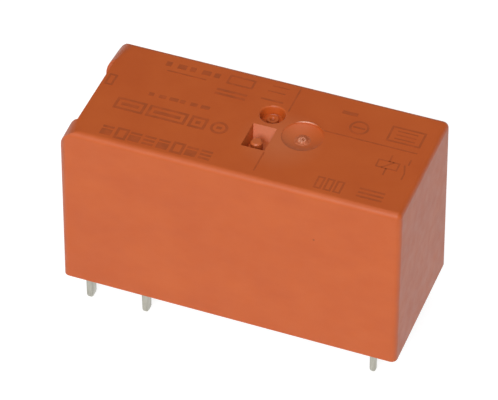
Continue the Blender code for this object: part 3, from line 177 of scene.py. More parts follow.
def white_paper():
    """Paper that glows where it is seen and is plain where it is only lit."""
    paper = bpy.data.materials.new("white_paper")
    paper.use_nodes = True
    tree = paper.node_tree
    tree.nodes.clear()
    glow = tree.nodes.new("ShaderNodeEmission")
    glow.inputs["Strength"].default_value = SEEN_GLOW
    lit = tree.nodes.new("ShaderNodeAddShader")
    tree.links.new(diffuse(tree, SEEN_GREY), lit.inputs[0])
    tree.links.new(glow.outputs[0], lit.inputs[1])
    choice = tree.nodes.new("ShaderNodeMixShader")
    tree.links.new(seen_rays(tree), choice.inputs[0])
    tree.links.new(diffuse(tree, PAPER_GREY), choice.inputs[1])
    tree.links.new(lit.outputs[0], choice.inputs[2])
    output = tree.nodes.new("ShaderNodeOutputMaterial")
    tree.links.new(choice.outputs[0], output.inputs["Surface"])
    return paper

floor.data.materials.append(white_paper())
print("paper glow:", SEEN_GLOW)

# %% [markdown]
# ## The light
# The front of the real relay is its brightest side, the top is a step darker and the right end is
# darker again with a pale sheen. A picture of a studio wrapped round the scene could light it, but
# the three sides are easier to balance one by one: a large soft lamp in front and fairly low for the
# front, a weak one above for the top, and a dim, even room for the rest.

# %% Lamps and world
ROOM_LIGHT = 0.20

def soft_lamp(name, turn, height, distance, size, level):
    """An area lamp aimed at the relay. A level of 1 shows a colour as it is written."""
    turn, height = math.radians(turn), math.radians(height)
    direction = Vector((math.sin(turn) * math.cos(height), -math.cos(turn) * math.cos(height),
                        math.sin(height)))
    data = bpy.data.lights.new(name, "AREA")
    data.shape = "SQUARE"
    data.size = size
    data.energy = level * math.pi ** 2 * distance ** 2
    lamp = bpy.data.objects.new(name, data)
    lamp.location = direction * distance
    lamp.rotation_mode = "QUATERNION"
    lamp.rotation_quaternion = (-direction).to_track_quat("-Z", "Y")
    bpy.context.scene.collection.objects.link(lamp)
    return lamp

soft_lamp("front_lamp", turn=5, height=35, distance=0.6, size=0.35, level=0.76)
soft_lamp("top_lamp", turn=30, height=84, distance=0.6, size=0.40, level=0.235)

world = bpy.data.worlds.new("studio")
bpy.context.scene.world = world
world.use_nodes = True
room = world.node_tree.nodes["Background"]
room.inputs["Color"].default_value = (1, 1, 1, 1)
room.inputs["Strength"].default_value = ROOM_LIGHT
bpy.context.scene.view_settings.view_transform = "Standard"

# %% [markdown]
# ## Helpers for finishes
# Every finish starts from one Principled shader. Its colour, roughness and fine relief come from
# noise that sits in the piece's own space, so it moves with the piece and needs no picture. Sizes
# are given in millimetres, as one would measure grain or scratches on the real thing.

# %% Start a finish

def new_finish(name, roughness, metallic=0.0):
    """A material with one Principled shader, its node tree and that shader."""
    finish = bpy.data.materials.new(name)
    finish.use_nodes = True
    shader = finish.node_tree.nodes["Principled BSDF"]
    shader.inputs["Roughness"].default_value = roughness
    shader.inputs["Metallic"].default_value = metallic
    return finish, finish.node_tree, shader

def place_in_mm(tree, stretch=(1, 1, 1)):
    """The point on the piece, in millimetres. A stretch below 1 draws marks out along that axis."""
    where = tree.nodes.new("ShaderNodeTexCoord")
    scale = tree.nodes.new("ShaderNodeMapping")
    scale.inputs["Scale"].default_value = [s / MM for s in stretch]
    tree.links.new(where.outputs["Object"], scale.inputs["Vector"])
    return scale.outputs["Vector"]

def noise(tree, size, detail=3.0, stretch=(1, 1, 1), rough=0.55):
    """Cloudy marks of about this size in millimetres, from 0 to 1."""
    cloud = tree.nodes.new("ShaderNodeTexNoise")
    cloud.inputs["Scale"].default_value = 1 / size
    cloud.inputs["Detail"].default_value = detail
    cloud.inputs["Roughness"].default_value = rough
    tree.links.new(place_in_mm(tree, stretch), cloud.inputs["Vector"])
    return cloud.outputs["Fac"]

def cells(tree, size, stretch=(1, 1, 1)):
    """The distance to the nearest of many scattered points, in sizes of a cell."""
    scatter = tree.nodes.new("ShaderNodeTexVoronoi")
    scatter.inputs["Scale"].default_value = 1 / size
    tree.links.new(place_in_mm(tree, stretch), scatter.inputs["Vector"])
    return scatter.outputs["Distance"]

print("pattern helpers ready")

# %% Shape and use a pattern

def spread(tree, mask, low, high, start=0.3, end=0.7):
    """The mask from start to end, as values from low to high."""
    fit = tree.nodes.new("ShaderNodeMapRange")
    fit.inputs["From Min"].default_value = start
    fit.inputs["From Max"].default_value = end
    fit.inputs["To Min"].default_value = low
    fit.inputs["To Max"].default_value = high
    tree.links.new(mask, fit.inputs["Value"])
    return fit.outputs["Result"]

def mixed(tree, mask, first, second):
    """Two colours, or two colour sockets, mixed by a mask."""
    mix = tree.nodes.new("ShaderNodeMix")
    mix.data_type = "RGBA"
    tree.links.new(mask, mix.inputs["Factor"])
    for socket, colour in ((mix.inputs["A"], first), (mix.inputs["B"], second)):
        if isinstance(colour, bpy.types.NodeSocket):
            tree.links.new(colour, socket)
        else:
            socket.default_value = (*colour, 1)
    return mix.outputs["Result"]

def near(tree, centre, full, none):
    """1 within the first distance of a point, falling to 0 at the second, all in millimetres."""
    apart = tree.nodes.new("ShaderNodeVectorMath")
    apart.operation = "DISTANCE"
    tree.links.new(place_in_mm(tree), apart.inputs[0])
    apart.inputs[1].default_value = centre
    return spread(tree, apart.outputs["Value"], 1, 0, full, none)

def relief(tree, shader, height, depth):
    """Fine relief, this deep in millimetres. A second one goes on top of the first."""
    bump = tree.nodes.new("ShaderNodeBump")
    bump.inputs["Distance"].default_value = depth * MM
    tree.links.new(height, bump.inputs["Height"])
    if shader.inputs["Normal"].is_linked:
        tree.links.new(shader.inputs["Normal"].links[0].from_socket, bump.inputs["Normal"])
    tree.links.new(bump.outputs["Normal"], shader.inputs["Normal"])

def colour_from(tree, shader, socket):
    tree.links.new(socket, shader.inputs["Base Color"])

def roughness_from(tree, shader, socket):
    tree.links.new(socket, shader.inputs["Roughness"])

print("shading helpers ready")

# %% [markdown]
# ## Easing the edges
# A moulded or stamped edge is never perfectly sharp, and a thin bright line runs along it. The
# solids keep their edges plain. A bevel modifier could ease them, but only once the mesh is clean, so
# mesh code does it all: each piece is copied, welded, freed of the extra triangles on its flat faces,
# and given a small bevel. Very short edges stay as they are and are only shaded sharp.
# Weighted normals then keep the large faces flat to the light. The copy replaces the solid in the
# picture, and the solid stays for physics.

# %% Eased copies
EDGE_ANGLE = math.radians(32)
FLAT_ANGLE = math.radians(0.6)
SHORT_EDGE = 3          # in widths of the bevel
SOLID_WELD = 1e-7
NORMAL_WEIGHT = 80

def eased_copy(node, body, width, segments=2, reshape=None):
    """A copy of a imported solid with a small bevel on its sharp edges, in the solid's place."""
    bm = bmesh.new()
    bm.from_mesh(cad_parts[node].data)
    bmesh.ops.remove_doubles(bm, verts=bm.verts, dist=SOLID_WELD)
    if reshape:
        reshape(bm.verts)
    bmesh.ops.dissolve_limit(bm, angle_limit=FLAT_ANGLE, verts=bm.verts, edges=bm.edges)
    sharp = [e for e in bm.edges if e.is_manifold and e.calc_face_angle() > EDGE_ANGLE
             and e.calc_length() > SHORT_EDGE * width * MM]
    bmesh.ops.bevel(bm, geom=sharp, offset=width * MM, offset_type="OFFSET", segments=segments,
                    profile=0.5, affect="EDGES", clamp_overlap=True)
    for face in bm.faces:
        face.smooth = True
    for edge in bm.edges:
        edge.smooth = not (edge.is_manifold and edge.calc_face_angle() > EDGE_ANGLE)
    mesh = bpy.data.meshes.new(node + "_eased")
    bm.to_mesh(mesh)
    bm.free()
    copy = bpy.data.objects.new(node + "_eased", mesh)
    bpy.context.scene.collection.objects.link(copy)
    even = copy.modifiers.new("even light on flat faces", "WEIGHTED_NORMAL")
    even.weight = NORMAL_WEIGHT
    even.keep_sharp = True
    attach(copy, body)
    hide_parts(node)
    return copy

def dress(node, body, width, finish, segments=2, reshape=None):
    """The eased copy of a solid, with its finish."""
    copy = eased_copy(node, body, width, segments, reshape)
    copy.data.materials.append(finish)
    print(node, "dressed in", finish.name, "with", len(copy.data.polygons), "faces")
    return copy

print("easing helpers ready")

# %% [markdown]
# ## Small corrections to the cover
# Set against the photograph, the rear pad of the contact end is narrower than in the
# solid, both pads are rounder at their outer corners, the pocket in the roof is shallower, with a
# slanted left wall, and the dish is shallower too. The cover could be modelled again, but moving its
# corners is enough. The step beside the rear pad is a straight extrusion, so its corners slide along
# it and no face leaves its plane. The other corners move by about half a millimetre at most.

# %% Moved corners
CLOSE = 0.01
COVER_TOP = 15.7
END_X = -14.38
STEP_WAS, STEP_IS = 1.90, 3.60
STEP_INNER_X = -12.9
PAD_INNER_X = -13.0
PAD_OUTER_Y = 5.0
PAD_FOOT_Z = 13.69
PAD_STRETCH = 1.4
POCKET_X = (-0.2, 1.9)
POCKET_Y = (-2.7, 0.2)
POCKET_FLOOR_WAS, POCKET_FLOOR_IS = COVER_TOP - 1.25, COVER_TOP - 1.0
RAMP_FOOT_WAS, RAMP_FOOT_IS = -0.42, -0.50
POCKET_SIDE_WAS, POCKET_SIDE_IS = -0.17, 0.06
DISH_PLACE = Vector((4.05, 0.05))
DISH_RADIUS = 1.73
DISH_LIP_Z = COVER_TOP - 0.10
DISH_LOW_Z = 15.0
DISH_SHARE = 0.72

def on_pocket_floor(x, y, z):
    in_plan = POCKET_X[0] < x < POCKET_X[1] and POCKET_Y[0] < y < POCKET_Y[1]
    return in_plan and abs(z - POCKET_FLOOR_WAS) < CLOSE

def correct_cover(verts):
    """The cover's corners, moved to where the photograph shows them."""
    moved = 0
    for vert in verts:
        x, y, z = vert.co / MM
        place = Vector((x, y, z))
        if x < STEP_INNER_X and abs(y - STEP_WAS) < CLOSE:
            place.y = STEP_IS
        if x < PAD_INNER_X and abs(y) > PAD_OUTER_Y and z > PAD_FOOT_Z:
            place.x = END_X + (x - END_X) * PAD_STRETCH
        if on_pocket_floor(x, y, z):
            place.z = POCKET_FLOOR_IS
            if abs(y - RAMP_FOOT_WAS) < CLOSE:
                place.y = RAMP_FOOT_IS
            if abs(x - POCKET_SIDE_WAS) < CLOSE:
                place.x = POCKET_SIDE_IS
        if (place.xy - DISH_PLACE).length < DISH_RADIUS and DISH_LOW_Z < z < DISH_LIP_Z:
            place.z = DISH_LIP_Z - (DISH_LIP_Z - z) * DISH_SHARE
        if (place - vert.co / MM).length > CLOSE / 2:
            vert.co = place * MM
            moved += 1
    print("corners moved:", moved)

print("rear pad's step moves from", STEP_WAS, "to", STEP_IS, "mm")

# %% [markdown]
# ## The moulded cover
# The cover is filled polyester in a strong orange, moulded in a finely eroded tool: a satin skin
# with faint flow clouds and a grain a few thousandths of a millimetre deep. The plastic entered at
# the gate in the dish. A paler, whiter patch lies over the pocket beside it. A tiny dark
# fleck sits in the front wall. A painted picture could hold all this, but noise needs none and has
# no seams. Noise of five sizes gives the clouds, the specks, the uneven gloss, the grain and a slow
# waviness. Distances from chosen points place the pale patch, the fleck, and a painted shade that
# darkens the dimple in the small well, where a deeper dimple would lie in shade.

# %% Orange cover
ORANGE = (0.548, 0.099, 0.0125)
ORANGE_DEEP = (0.522, 0.090, 0.0105)
ORANGE_PALE = (0.566, 0.107, 0.0145)
PALE_PATCH_ORANGE = (0.585, 0.165, 0.060)
# the brown of the fleck, used again as the painted shade in the well's dimple
FLECK_AND_SHADE_BROWN = (0.210, 0.040, 0.010)
PALE_PATCH_PLACE = (2.6, -1.0, COVER_TOP)
FLECK_PLACE = (7.3, -6.2, 11.0)
WELL_DIMPLE_PLACE = (0.90, 1.70, COVER_TOP - 0.66)

def orange_moulding():
    finish, tree, shader = new_finish("orange_moulding", 0.45)
    clouds = spread(tree, noise(tree, 4.0, 4.0, (1, 1, 1.6)), 0, 1)
    specks = spread(tree, noise(tree, 0.22, 2.0), 0, 0.16, 0.35, 0.65)
    tone = mixed(tree, clouds, ORANGE_DEEP, ORANGE_PALE)
    tone = mixed(tree, specks, tone, ORANGE)
    # a paler, whiter patch over the pocket beside the dish
    pale_patch = spread(tree, near(tree, PALE_PATCH_PLACE, 0.8, 3.6), 0, 0.5, 0, 1)
    tone = mixed(tree, pale_patch, tone, PALE_PATCH_ORANGE)
    # painted shade: the colour darkens towards the bottom of the well's dimple, where a deeper dimple would
    # lie in shade
    dimple_shade = spread(tree, near(tree, WELL_DIMPLE_PLACE, 0.16, 0.26), 0, 0.4, 0, 1)
    tone = mixed(tree, dimple_shade, tone, FLECK_AND_SHADE_BROWN)
    tone = mixed(tree, near(tree, FLECK_PLACE, 0.05, 0.13), tone, FLECK_AND_SHADE_BROWN)
    colour_from(tree, shader, tone)
    roughness_from(tree, shader, spread(tree, noise(tree, 1.2, 3.0), 0.41, 0.50))
    relief(tree, shader, noise(tree, 0.16, 2.0), 0.004)
    relief(tree, shader, noise(tree, 2.4, 1.0), 0.006)
    return finish

dress("cover", "housing", 0.06, orange_moulding(), 3, correct_cover)

# %% [markdown]
# ## The torn gate
# Where the runner was twisted off, a rough stub stays in the middle of the dish, whitened at its
# core. Fine relief in the shader would stay flat at the outline, so the stub is a real surface: a
# small round patch whose top is lifted by a seeded random amount from point to point, highest at two
# torn lips, and closed below so that it is a solid of its own.

# %% Gate stub
GATE_PLACE = (4.05, 0.05, COVER_TOP)
STUB_RADIUS = 0.72
STUB_SINK = 0.04
DISH_FLOOR_DEPTH = 0.49
STUB_FOOT = DISH_LIP_Z - DISH_FLOOR_DEPTH * DISH_SHARE - STUB_SINK
STUB_RINGS = 9
STUB_SPOKES = 28
STUB_SEED = 7
STUB_EDGE_HEIGHT = 0.05
STUB_RISE = 0.14
STUB_SLOPE = 0.6        # the outer share of the radius over which the stub rises
LIP_HEIGHT = 0.09
LIP_REACH, LIP_WIDTH = 0.35, 0.16
TORN_ROUGHNESS = 0.035

def torn_height(reach, turn, chance):
    """Height of the torn top at this share of the radius, in millimetres."""
    body = STUB_EDGE_HEIGHT + STUB_RISE * min(1.0, (1 - reach) / STUB_SLOPE)
    two_lips = 0.6 + 0.4 * math.cos(2 * turn + 0.7)
    lips = LIP_HEIGHT * math.exp(-((reach - LIP_REACH) / LIP_WIDTH) ** 2) * two_lips
    return body + lips + chance.uniform(-TORN_ROUGHNESS, TORN_ROUGHNESS) * (1 - 0.6 * reach)

def make_gate_stub():
    chance = random.Random(STUB_SEED)
    bm = bmesh.new()
    crown = bm.verts.new((0, 0, torn_height(0, 0, chance)))
    turns = [2 * math.pi * spoke / STUB_SPOKES for spoke in range(STUB_SPOKES)]
    rings = []
    for ring in range(1, STUB_RINGS + 1):
        reach = ring / STUB_RINGS
        radius = STUB_RADIUS * reach * (1 + chance.uniform(-0.04, 0.04))
        rings.append([bm.verts.new((radius * math.cos(turn), radius * math.sin(turn),
                                    torn_height(reach, turn, chance))) for turn in turns])
    foot = [bm.verts.new((v.co.x, v.co.y, 0)) for v in rings[-1]]
    for spoke in range(STUB_SPOKES):
        after = (spoke + 1) % STUB_SPOKES
        bm.faces.new((crown, rings[0][spoke], rings[0][after]))
        for inner, outer in zip(rings, rings[1:] + [foot]):
            bm.faces.new((inner[spoke], outer[spoke], outer[after], inner[after]))
    bm.faces.new(foot[::-1])
    bmesh.ops.recalc_face_normals(bm, faces=bm.faces)
    bmesh.ops.scale(bm, vec=(MM, MM, MM), verts=bm.verts)
    mesh = bpy.data.meshes.new("gate_stub")
    bm.to_mesh(mesh)
    bm.free()
    stub = bpy.data.objects.new("gate_stub", mesh)
    bpy.context.scene.collection.objects.link(stub)
    stub.location = (GATE_PLACE[0] * MM, GATE_PLACE[1] * MM, STUB_FOOT * MM)
    return stub

gate_stub = make_gate_stub()
print("gate stub:", len(gate_stub.data.polygons), "faces")

# %% Torn plastic
TORN_PALE = (0.800, 0.420, 0.280)
TORN_DEEP = (0.480, 0.110, 0.032)
TORN_EDGE = (0.560, 0.150, 0.055)
TORN_CORE_PLACE = (0.0, -0.08, 0.2)

def torn_plastic():
    finish, tree, shader = new_finish("torn_plastic", 0.6)
    torn = spread(tree, noise(tree, 0.14, 4.0), 0, 1, 0.42, 0.60)
    core = near(tree, TORN_CORE_PLACE, 0.12, 0.42)
    outer = mixed(tree, torn, TORN_DEEP, TORN_EDGE)
    colour_from(tree, shader, mixed(tree, core, outer, mixed(tree, torn, TORN_DEEP, TORN_PALE)))
    relief(tree, shader, noise(tree, 0.06, 3.0), 0.02)
    return finish

gate_stub.data.materials.append(torn_plastic())
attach(gate_stub, "housing")
print("gate stub dressed")

# %% [markdown]
# ## The burr on the dish
# The dish is the face of a separate round insert in the mould. Where it meets the roof, a hair of
# plastic was pressed into the joint on one side. It stands as a fine bead on the far rim. Its pale
# colour is a painted highlight, for the bead is too thin to catch the lamp's reflection by itself. A
# bevelled curve could draw it, but here it is a tube built ring by ring along the rim, so that it can
# be a little uneven and taper to both ends.

# %% Dish burr
BURR_RADIUS = 1.75
BURR_TUBE = 0.075
BURR_START, BURR_END = math.radians(38), math.radians(128)
BURR_STEPS = 40
BURR_SIDES = 10

def burr_thickness(share, turn):
    """Radius of the bead at this share of its length: thin at both ends, and uneven."""
    taper = 0.15 + 0.85 * math.sin(math.pi * share) ** 0.7
    return BURR_TUBE * taper * (1 + 0.08 * math.sin(31 * turn))

def make_dish_burr():
    bm = bmesh.new()
    rings = []
    for step in range(BURR_STEPS + 1):
        share = step / BURR_STEPS
        turn = BURR_START + (BURR_END - BURR_START) * share
        tube = burr_thickness(share, turn)
        ring = []
        for side in range(BURR_SIDES):
            roll = 2 * math.pi * side / BURR_SIDES
            reach = BURR_RADIUS + tube * math.cos(roll)
            point = (reach * math.cos(turn), reach * math.sin(turn), tube * math.sin(roll))
            ring.append(bm.verts.new(point))
        rings.append(ring)
    for first, second in zip(rings, rings[1:]):
        for side in range(BURR_SIDES):
            after = (side + 1) % BURR_SIDES
            bm.faces.new((first[side], second[side], second[after], first[after]))
    bm.faces.new(rings[0])
    bm.faces.new(rings[-1])
    bmesh.ops.recalc_face_normals(bm, faces=bm.faces)
    bmesh.ops.scale(bm, vec=(MM, MM, MM), verts=bm.verts)
    for face in bm.faces:
        face.smooth = True
    mesh = bpy.data.meshes.new("dish_burr")
    bm.to_mesh(mesh)
    bm.free()
    burr = bpy.data.objects.new("dish_burr", mesh)
    bpy.context.scene.collection.objects.link(burr)
    burr.location = [place * MM for place in GATE_PLACE]
    return burr

dish_burr = make_dish_burr()
print("dish burr:", len(dish_burr.data.polygons), "faces")

# %% Painted highlight on the burr
# painted highlight: a pale colour on the burr, palest where the lamp's reflection would fall on the far rim
BURR_HIGHLIGHT = (0.860, 0.380, 0.250)
HIGHLIGHT_PLACE = (-0.35, 1.75, 0.0)

def painted_highlight_orange():
    finish, tree, shader = new_finish("painted_highlight_orange", 0.25)
    # 1 near the top of the far rim, where the painted highlight is strongest
    highlight_mask = near(tree, HIGHLIGHT_PLACE, 0.35, 1.1)
    speckled = mixed(tree, spread(tree, noise(tree, 0.2, 3.0), 0, 0.35), BURR_HIGHLIGHT, ORANGE)
    colour_from(tree, shader, mixed(tree, highlight_mask, ORANGE_PALE, speckled))
    roughness_from(tree, shader, spread(tree, noise(tree, 0.25, 3.0), 0.18, 0.34))
    return finish

dish_burr.data.materials.append(painted_highlight_orange())
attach(dish_burr, "housing")
print("dish burr dressed")

# %% [markdown]
# ## The marking on the top
# The top is marked in a thin brown that is only a step darker than the plastic, with generic signs:
# plain bars, blank frames, rings, and the standard sketch of a coil with its contact. They could be
# painted in the shader, but a film of ink is a thin solid, so each mark is a strip that stands a
# hundredth of a millimetre proud of the top and follows a short path. One function sweeps the strip.

# %% Ink strips
INK_FILM = 0.010
INK_SINK = 0.004

def ink_strip(bm, path, width, closed=False):
    """A flat strip of ink along a path in the top's plane; all in millimetres."""
    points = [Vector(point) for point in path]
    low, high = COVER_TOP - INK_SINK, COVER_TOP + INK_FILM
    count = len(points)
    sections = []
    for index, point in enumerate(points):
        before = points[index - 1] if closed or index > 0 else None
        after = points[(index + 1) % count] if closed or index + 1 < count else None
        leaving = (after - point).normalized() if after is not None else (point - before).normalized()
        arriving = (point - before).normalized() if before is not None else leaving
        middle = (arriving + leaving).normalized()
        aside = Vector((-middle.y, middle.x)) * (width / 2 / max(middle.dot(leaving), 0.5))
        left, far = point + aside, point - aside
        sections.append([bm.verts.new((left.x, left.y, low)), bm.verts.new((far.x, far.y, low)),
                         bm.verts.new((far.x, far.y, high)), bm.verts.new((left.x, left.y, high))])
    pairs = list(zip(sections, sections[1:]))
    if closed:
        pairs.append((sections[-1], sections[0]))
    else:
        bm.faces.new(sections[0])
        bm.faces.new(sections[-1][::-1])
    for first, second in pairs:
        for side in range(4):
            turn = (side + 1) % 4
            bm.faces.new((first[side], second[side], second[turn], first[turn]))

def ink_bar(bm, x, y, length, height):
    """A plain bar along X, centred on y."""
    ink_strip(bm, [(x, y), (x + length, y)], height)

def ink_frame(bm, x, y, length, height, line):
    """A blank frame, centred on y."""
    low, high = y - height / 2, y + height / 2
    ink_strip(bm, [(x, low), (x + length, low), (x + length, high), (x, high)], line, closed=True)

def ink_ring(bm, x, y, radius, line, steps=32):
    turns = [2 * math.pi * step / steps for step in range(steps)]
    ink_strip(bm, [(x + radius * math.cos(t), y + radius * math.sin(t)) for t in turns], line, closed=True)

print("ink helpers ready")

# %% Rows of blocks, frames and dashes
LINE = 0.13
BOLD = 0.24
FRONT_ROW, FRAME_ROW, DASH_ROW, REAR_ROW = -4.75, -1.35, 0.55, 4.55
BLOCK = 0.95
BLOCK_PITCH = 1.2

def front_row(bm):
    """The bold row along the front edge: blocks, blank frames and stacks of bars."""
    for step in range(8):
        x = -11.2 + BLOCK_PITCH * step
        if step % 4 == 1:
            ink_frame(bm, x + BOLD / 2, FRONT_ROW, 0.80, 1.10, BOLD)
        elif step % 4 == 3:
            for level in (-0.42, 0, 0.42):
                ink_bar(bm, x, FRONT_ROW + level, BLOCK, BOLD)
        else:
            ink_bar(bm, x, FRONT_ROW + 0.42, BLOCK, BOLD)
            ink_bar(bm, x, FRONT_ROW - 0.20, BLOCK, 0.70)

def frame_row(bm):
    """The bold row behind it: a ring, and blank frames that each hold a bar."""
    ink_ring(bm, -2.5, FRAME_ROW, 0.62, BOLD)
    ink_bar(bm, -2.72, FRAME_ROW, 0.44, 0.30)
    for x, length in ((-11.3, 2.3), (-8.5, 3.1), (-4.9, 1.2)):
        ink_frame(bm, x, FRAME_ROW, length, 1.15, BOLD)
        ink_bar(bm, x + 0.4, FRAME_ROW, length - 0.8, 0.35)

def small_rows(bm):
    """The fine rows: short dashes of uneven length, a line, and small frames."""
    for step in range(6):
        ink_bar(bm, -9.3 + 0.9 * step, DASH_ROW, 0.45 + 0.15 * (step % 3), 0.42)
    for step in range(5):
        ink_bar(bm, -9.4 + 1.05 * step, REAR_ROW, 0.50 + 0.25 * (step % 2), 0.55)
    ink_bar(bm, -9.0, 3.75, 3.4, LINE)
    ink_frame(bm, -3.9, 4.50, 2.1, 0.95, LINE * 1.4)
    for level in (2.55, 3.05):
        ink_bar(bm, -4.4, level, 2.6, 0.26)
    ink_frame(bm, -13.1, 1.1, 0.55, 1.2, LINE * 1.4)

print("rows of the contact end ready")

# %% Marks of the coil end and the contact sketch

def coil_end_marks(bm):
    """Round and framed marks, and short bars along the front edge."""
    ink_ring(bm, 7.9, 2.6, 0.72, LINE * 1.5)
    ink_strip(bm, [(7.4, 2.6), (8.4, 2.6)], LINE * 1.5)
    ink_bar(bm, 6.0, 4.0, 1.3, 0.40)
    ink_frame(bm, 10.4, 2.9, 2.7, 1.7, LINE * 1.4)
    for level in (2.45, 2.9, 3.35):
        ink_bar(bm, 10.9, level, 1.7, LINE)
    for x in (6.9, 7.7, 8.5):
        ink_frame(bm, x, -4.55, 0.48, 1.25, LINE * 1.3)
    for level in (-4.95, -4.5, -4.05):
        ink_bar(bm, 10.3, level, 2.1, 0.20)

def contact_sketch(bm):
    """The usual sketch of a coil box with its slash, and an open contact beside it."""
    ink_frame(bm, 10.6, -0.75, 1.7, 0.85, LINE)
    ink_strip(bm, [(11.05, -1.17), (11.85, -0.33)], LINE)
    ink_strip(bm, [(11.45, -0.33), (11.45, 0.45)], LINE)
    ink_strip(bm, [(11.45, -1.17), (11.45, -2.0)], LINE)
    ink_strip(bm, [(13.0, 0.45), (13.0, -0.25)], LINE)
    ink_strip(bm, [(13.0, -2.0), (13.0, -1.25), (12.72, -0.35)], LINE)

def long_lines(bm):
    """Fine lines across and along the top, between the moulded features."""
    ink_strip(bm, [(1.95, 2.45), (1.95, 5.45)], LINE)
    ink_strip(bm, [(1.85, -2.75), (1.85, -5.1)], LINE)
    ink_strip(bm, [(5.4, 1.3), (13.2, 1.3)], LINE)
    ink_strip(bm, [(-0.7, 3.25), (1.2, 3.25)], LINE * 1.5)
    ink_strip(bm, [(-0.5, 4.3), (1.0, 4.3)], LINE)
    ink_strip(bm, [(-0.3, 5.0), (1.1, 5.0)], LINE)

def make_marking():
    bm = bmesh.new()
    for draw in (front_row, frame_row, small_rows, coil_end_marks, contact_sketch, long_lines):
        draw(bm)
    bmesh.ops.recalc_face_normals(bm, faces=bm.faces)
    bmesh.ops.scale(bm, vec=(MM, MM, MM), verts=bm.verts)
    mesh = bpy.data.meshes.new("top_marking")
    bm.to_mesh(mesh)
    bm.free()
    marking = bpy.data.objects.new("top_marking", mesh)
    bpy.context.scene.collection.objects.link(marking)
    return marking

marking = make_marking()
print("marking:", len(marking.data.polygons), "faces")

# %% [markdown]
# ## The ink
# The print is thin and a little worn, so the plastic shows through it in patches. Transparent ink
# would do that too, but costs time and adds grain to the picture. So the ink is opaque: the orange of
# the cover, darkened by a little over a quarter, and noise moves it back towards the plain orange
# here and there.

# %% Brown ink
INK = (0.390, 0.072, 0.0105)
INK_WORN = (0.480, 0.084, 0.0115)

def brown_ink():
    finish, tree, shader = new_finish("brown_ink", 0.50)
    patches = spread(tree, noise(tree, 0.9, 5.0), 0, 1, 0.40, 0.66)
    colour_from(tree, shader, mixed(tree, patches, INK, INK_WORN))
    roughness_from(tree, shader, spread(tree, noise(tree, 0.3, 3.0), 0.42, 0.58))
    relief(tree, shader, noise(tree, 0.14, 2.0), 0.003)
    return finish

marking.data.materials.append(brown_ink())
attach(marking, "housing")
print("ink done")

# %% [markdown]
# ## The tinned pins
# The pins are copper stampings dipped in tin. Tin is a warm pale grey and runs down the pin as it
# sets, so its gloss is streaky along the pin and the surface is slightly lumpy. A metal of one even
# roughness would pass for polished steel. So the noise is stretched along Z for the streaks, and a
# larger one makes the lumps.

# %% Tinned pins
TIN = (0.500, 0.490, 0.430)
TIN_DULL = (0.390, 0.380, 0.325)

def dipped_tin():
    finish, tree, shader = new_finish("dipped_tin", 0.34, 1.0)
    streaks = noise(tree, 0.16, 3.0, (1, 1, 0.12))
    colour_from(tree, shader, mixed(tree, spread(tree, streaks, 0, 1), TIN, TIN_DULL))
    roughness_from(tree, shader, spread(tree, noise(tree, 0.5, 3.0, (1, 1, 0.4)), 0.26, 0.46))
    relief(tree, shader, noise(tree, 0.45, 2.0, (1, 1, 0.5)), 0.02)
    return finish

tin = dipped_tin()
print("finish made:", tin.name)

# %% [markdown]
# ## Room for the coat
# The next piece is a coat of tin round each pin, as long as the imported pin. A pin that ended at the
# same height would poke through the coat's round tip, so the copies of the terminals are made a
# little shorter first: what lies below a given height is drawn up to half its length. The two rivets
# of the leaf are tinned as well and keep their shape.

# %% Shortened pins, and the rivets
TIP_START = -3.9
TIP_SHARE = 0.5

def draw_tips_in(verts):
    """Shorter, so that the coat of tin can close round the tips."""
    for vert in verts:
        if vert.co.z / MM < TIP_START:
            vert.co.z = (TIP_START + (vert.co.z / MM - TIP_START) * TIP_SHARE) * MM

for node in ("fixed_terminal", "common_terminal", "coil_terminal_front", "coil_terminal_rear"):
    dress(node, "housing", 0.16, tin, 3, draw_tips_in)
for node in ("spring_rivet_front", "spring_rivet_rear"):
    dress(node, "housing", 0.04, tin)

# %% [markdown]
# ## The coat of tin
# Below the base each pin carries a skin of tin. Surface tension rounds it over the corners and pulls
# it to a round tip. A wider bevel on the pins can't give that, because it stops where two bevels
# meet. So the coat is a solid of its own: rounded sections stacked down the pin, a little uneven,
# that shrink to the tip. A power above 2 in the ellipse's formula makes the sections squarer.

# %% Tin coat
PIN_ROW = 3.75
# Place along X, half the thickness, half the width, and the power of the section.
PIN_COATS = ((-13.2, 0.29, 0.50, 4), (-8.2, 0.29, 0.50, 4), (11.8, 0.275, 0.275, 3))
COAT_TOP = -0.03
COAT_TIP = cad_low.z / MM
COAT_TIP_LENGTH = 0.42
SECTION_STEPS = 32
STEM_ROWS = 14
TIP_ROWS = 7
LUMP_PHASE = 1.7
REAR_PHASE = 0.8

def coat_section(bm, x, y, z, half_x, half_y, power):
    """A ring of points on a squarish ellipse."""
    ring = []
    for step in range(SECTION_STEPS):
        turn = 2 * math.pi * step / SECTION_STEPS
        across, along = math.cos(turn), math.sin(turn)
        ring.append(bm.verts.new((x + half_x * math.copysign(abs(across) ** (2 / power), across),
                                  y + half_y * math.copysign(abs(along) ** (2 / power), along), z)))
    return ring

def lumpy(z, phase):
    """How much thicker or thinner than its plain size the coat is at this height."""
    return 1 + 0.02 * math.sin(2.4 * z + phase) + 0.012 * math.sin(6.1 * z + 2 * phase)

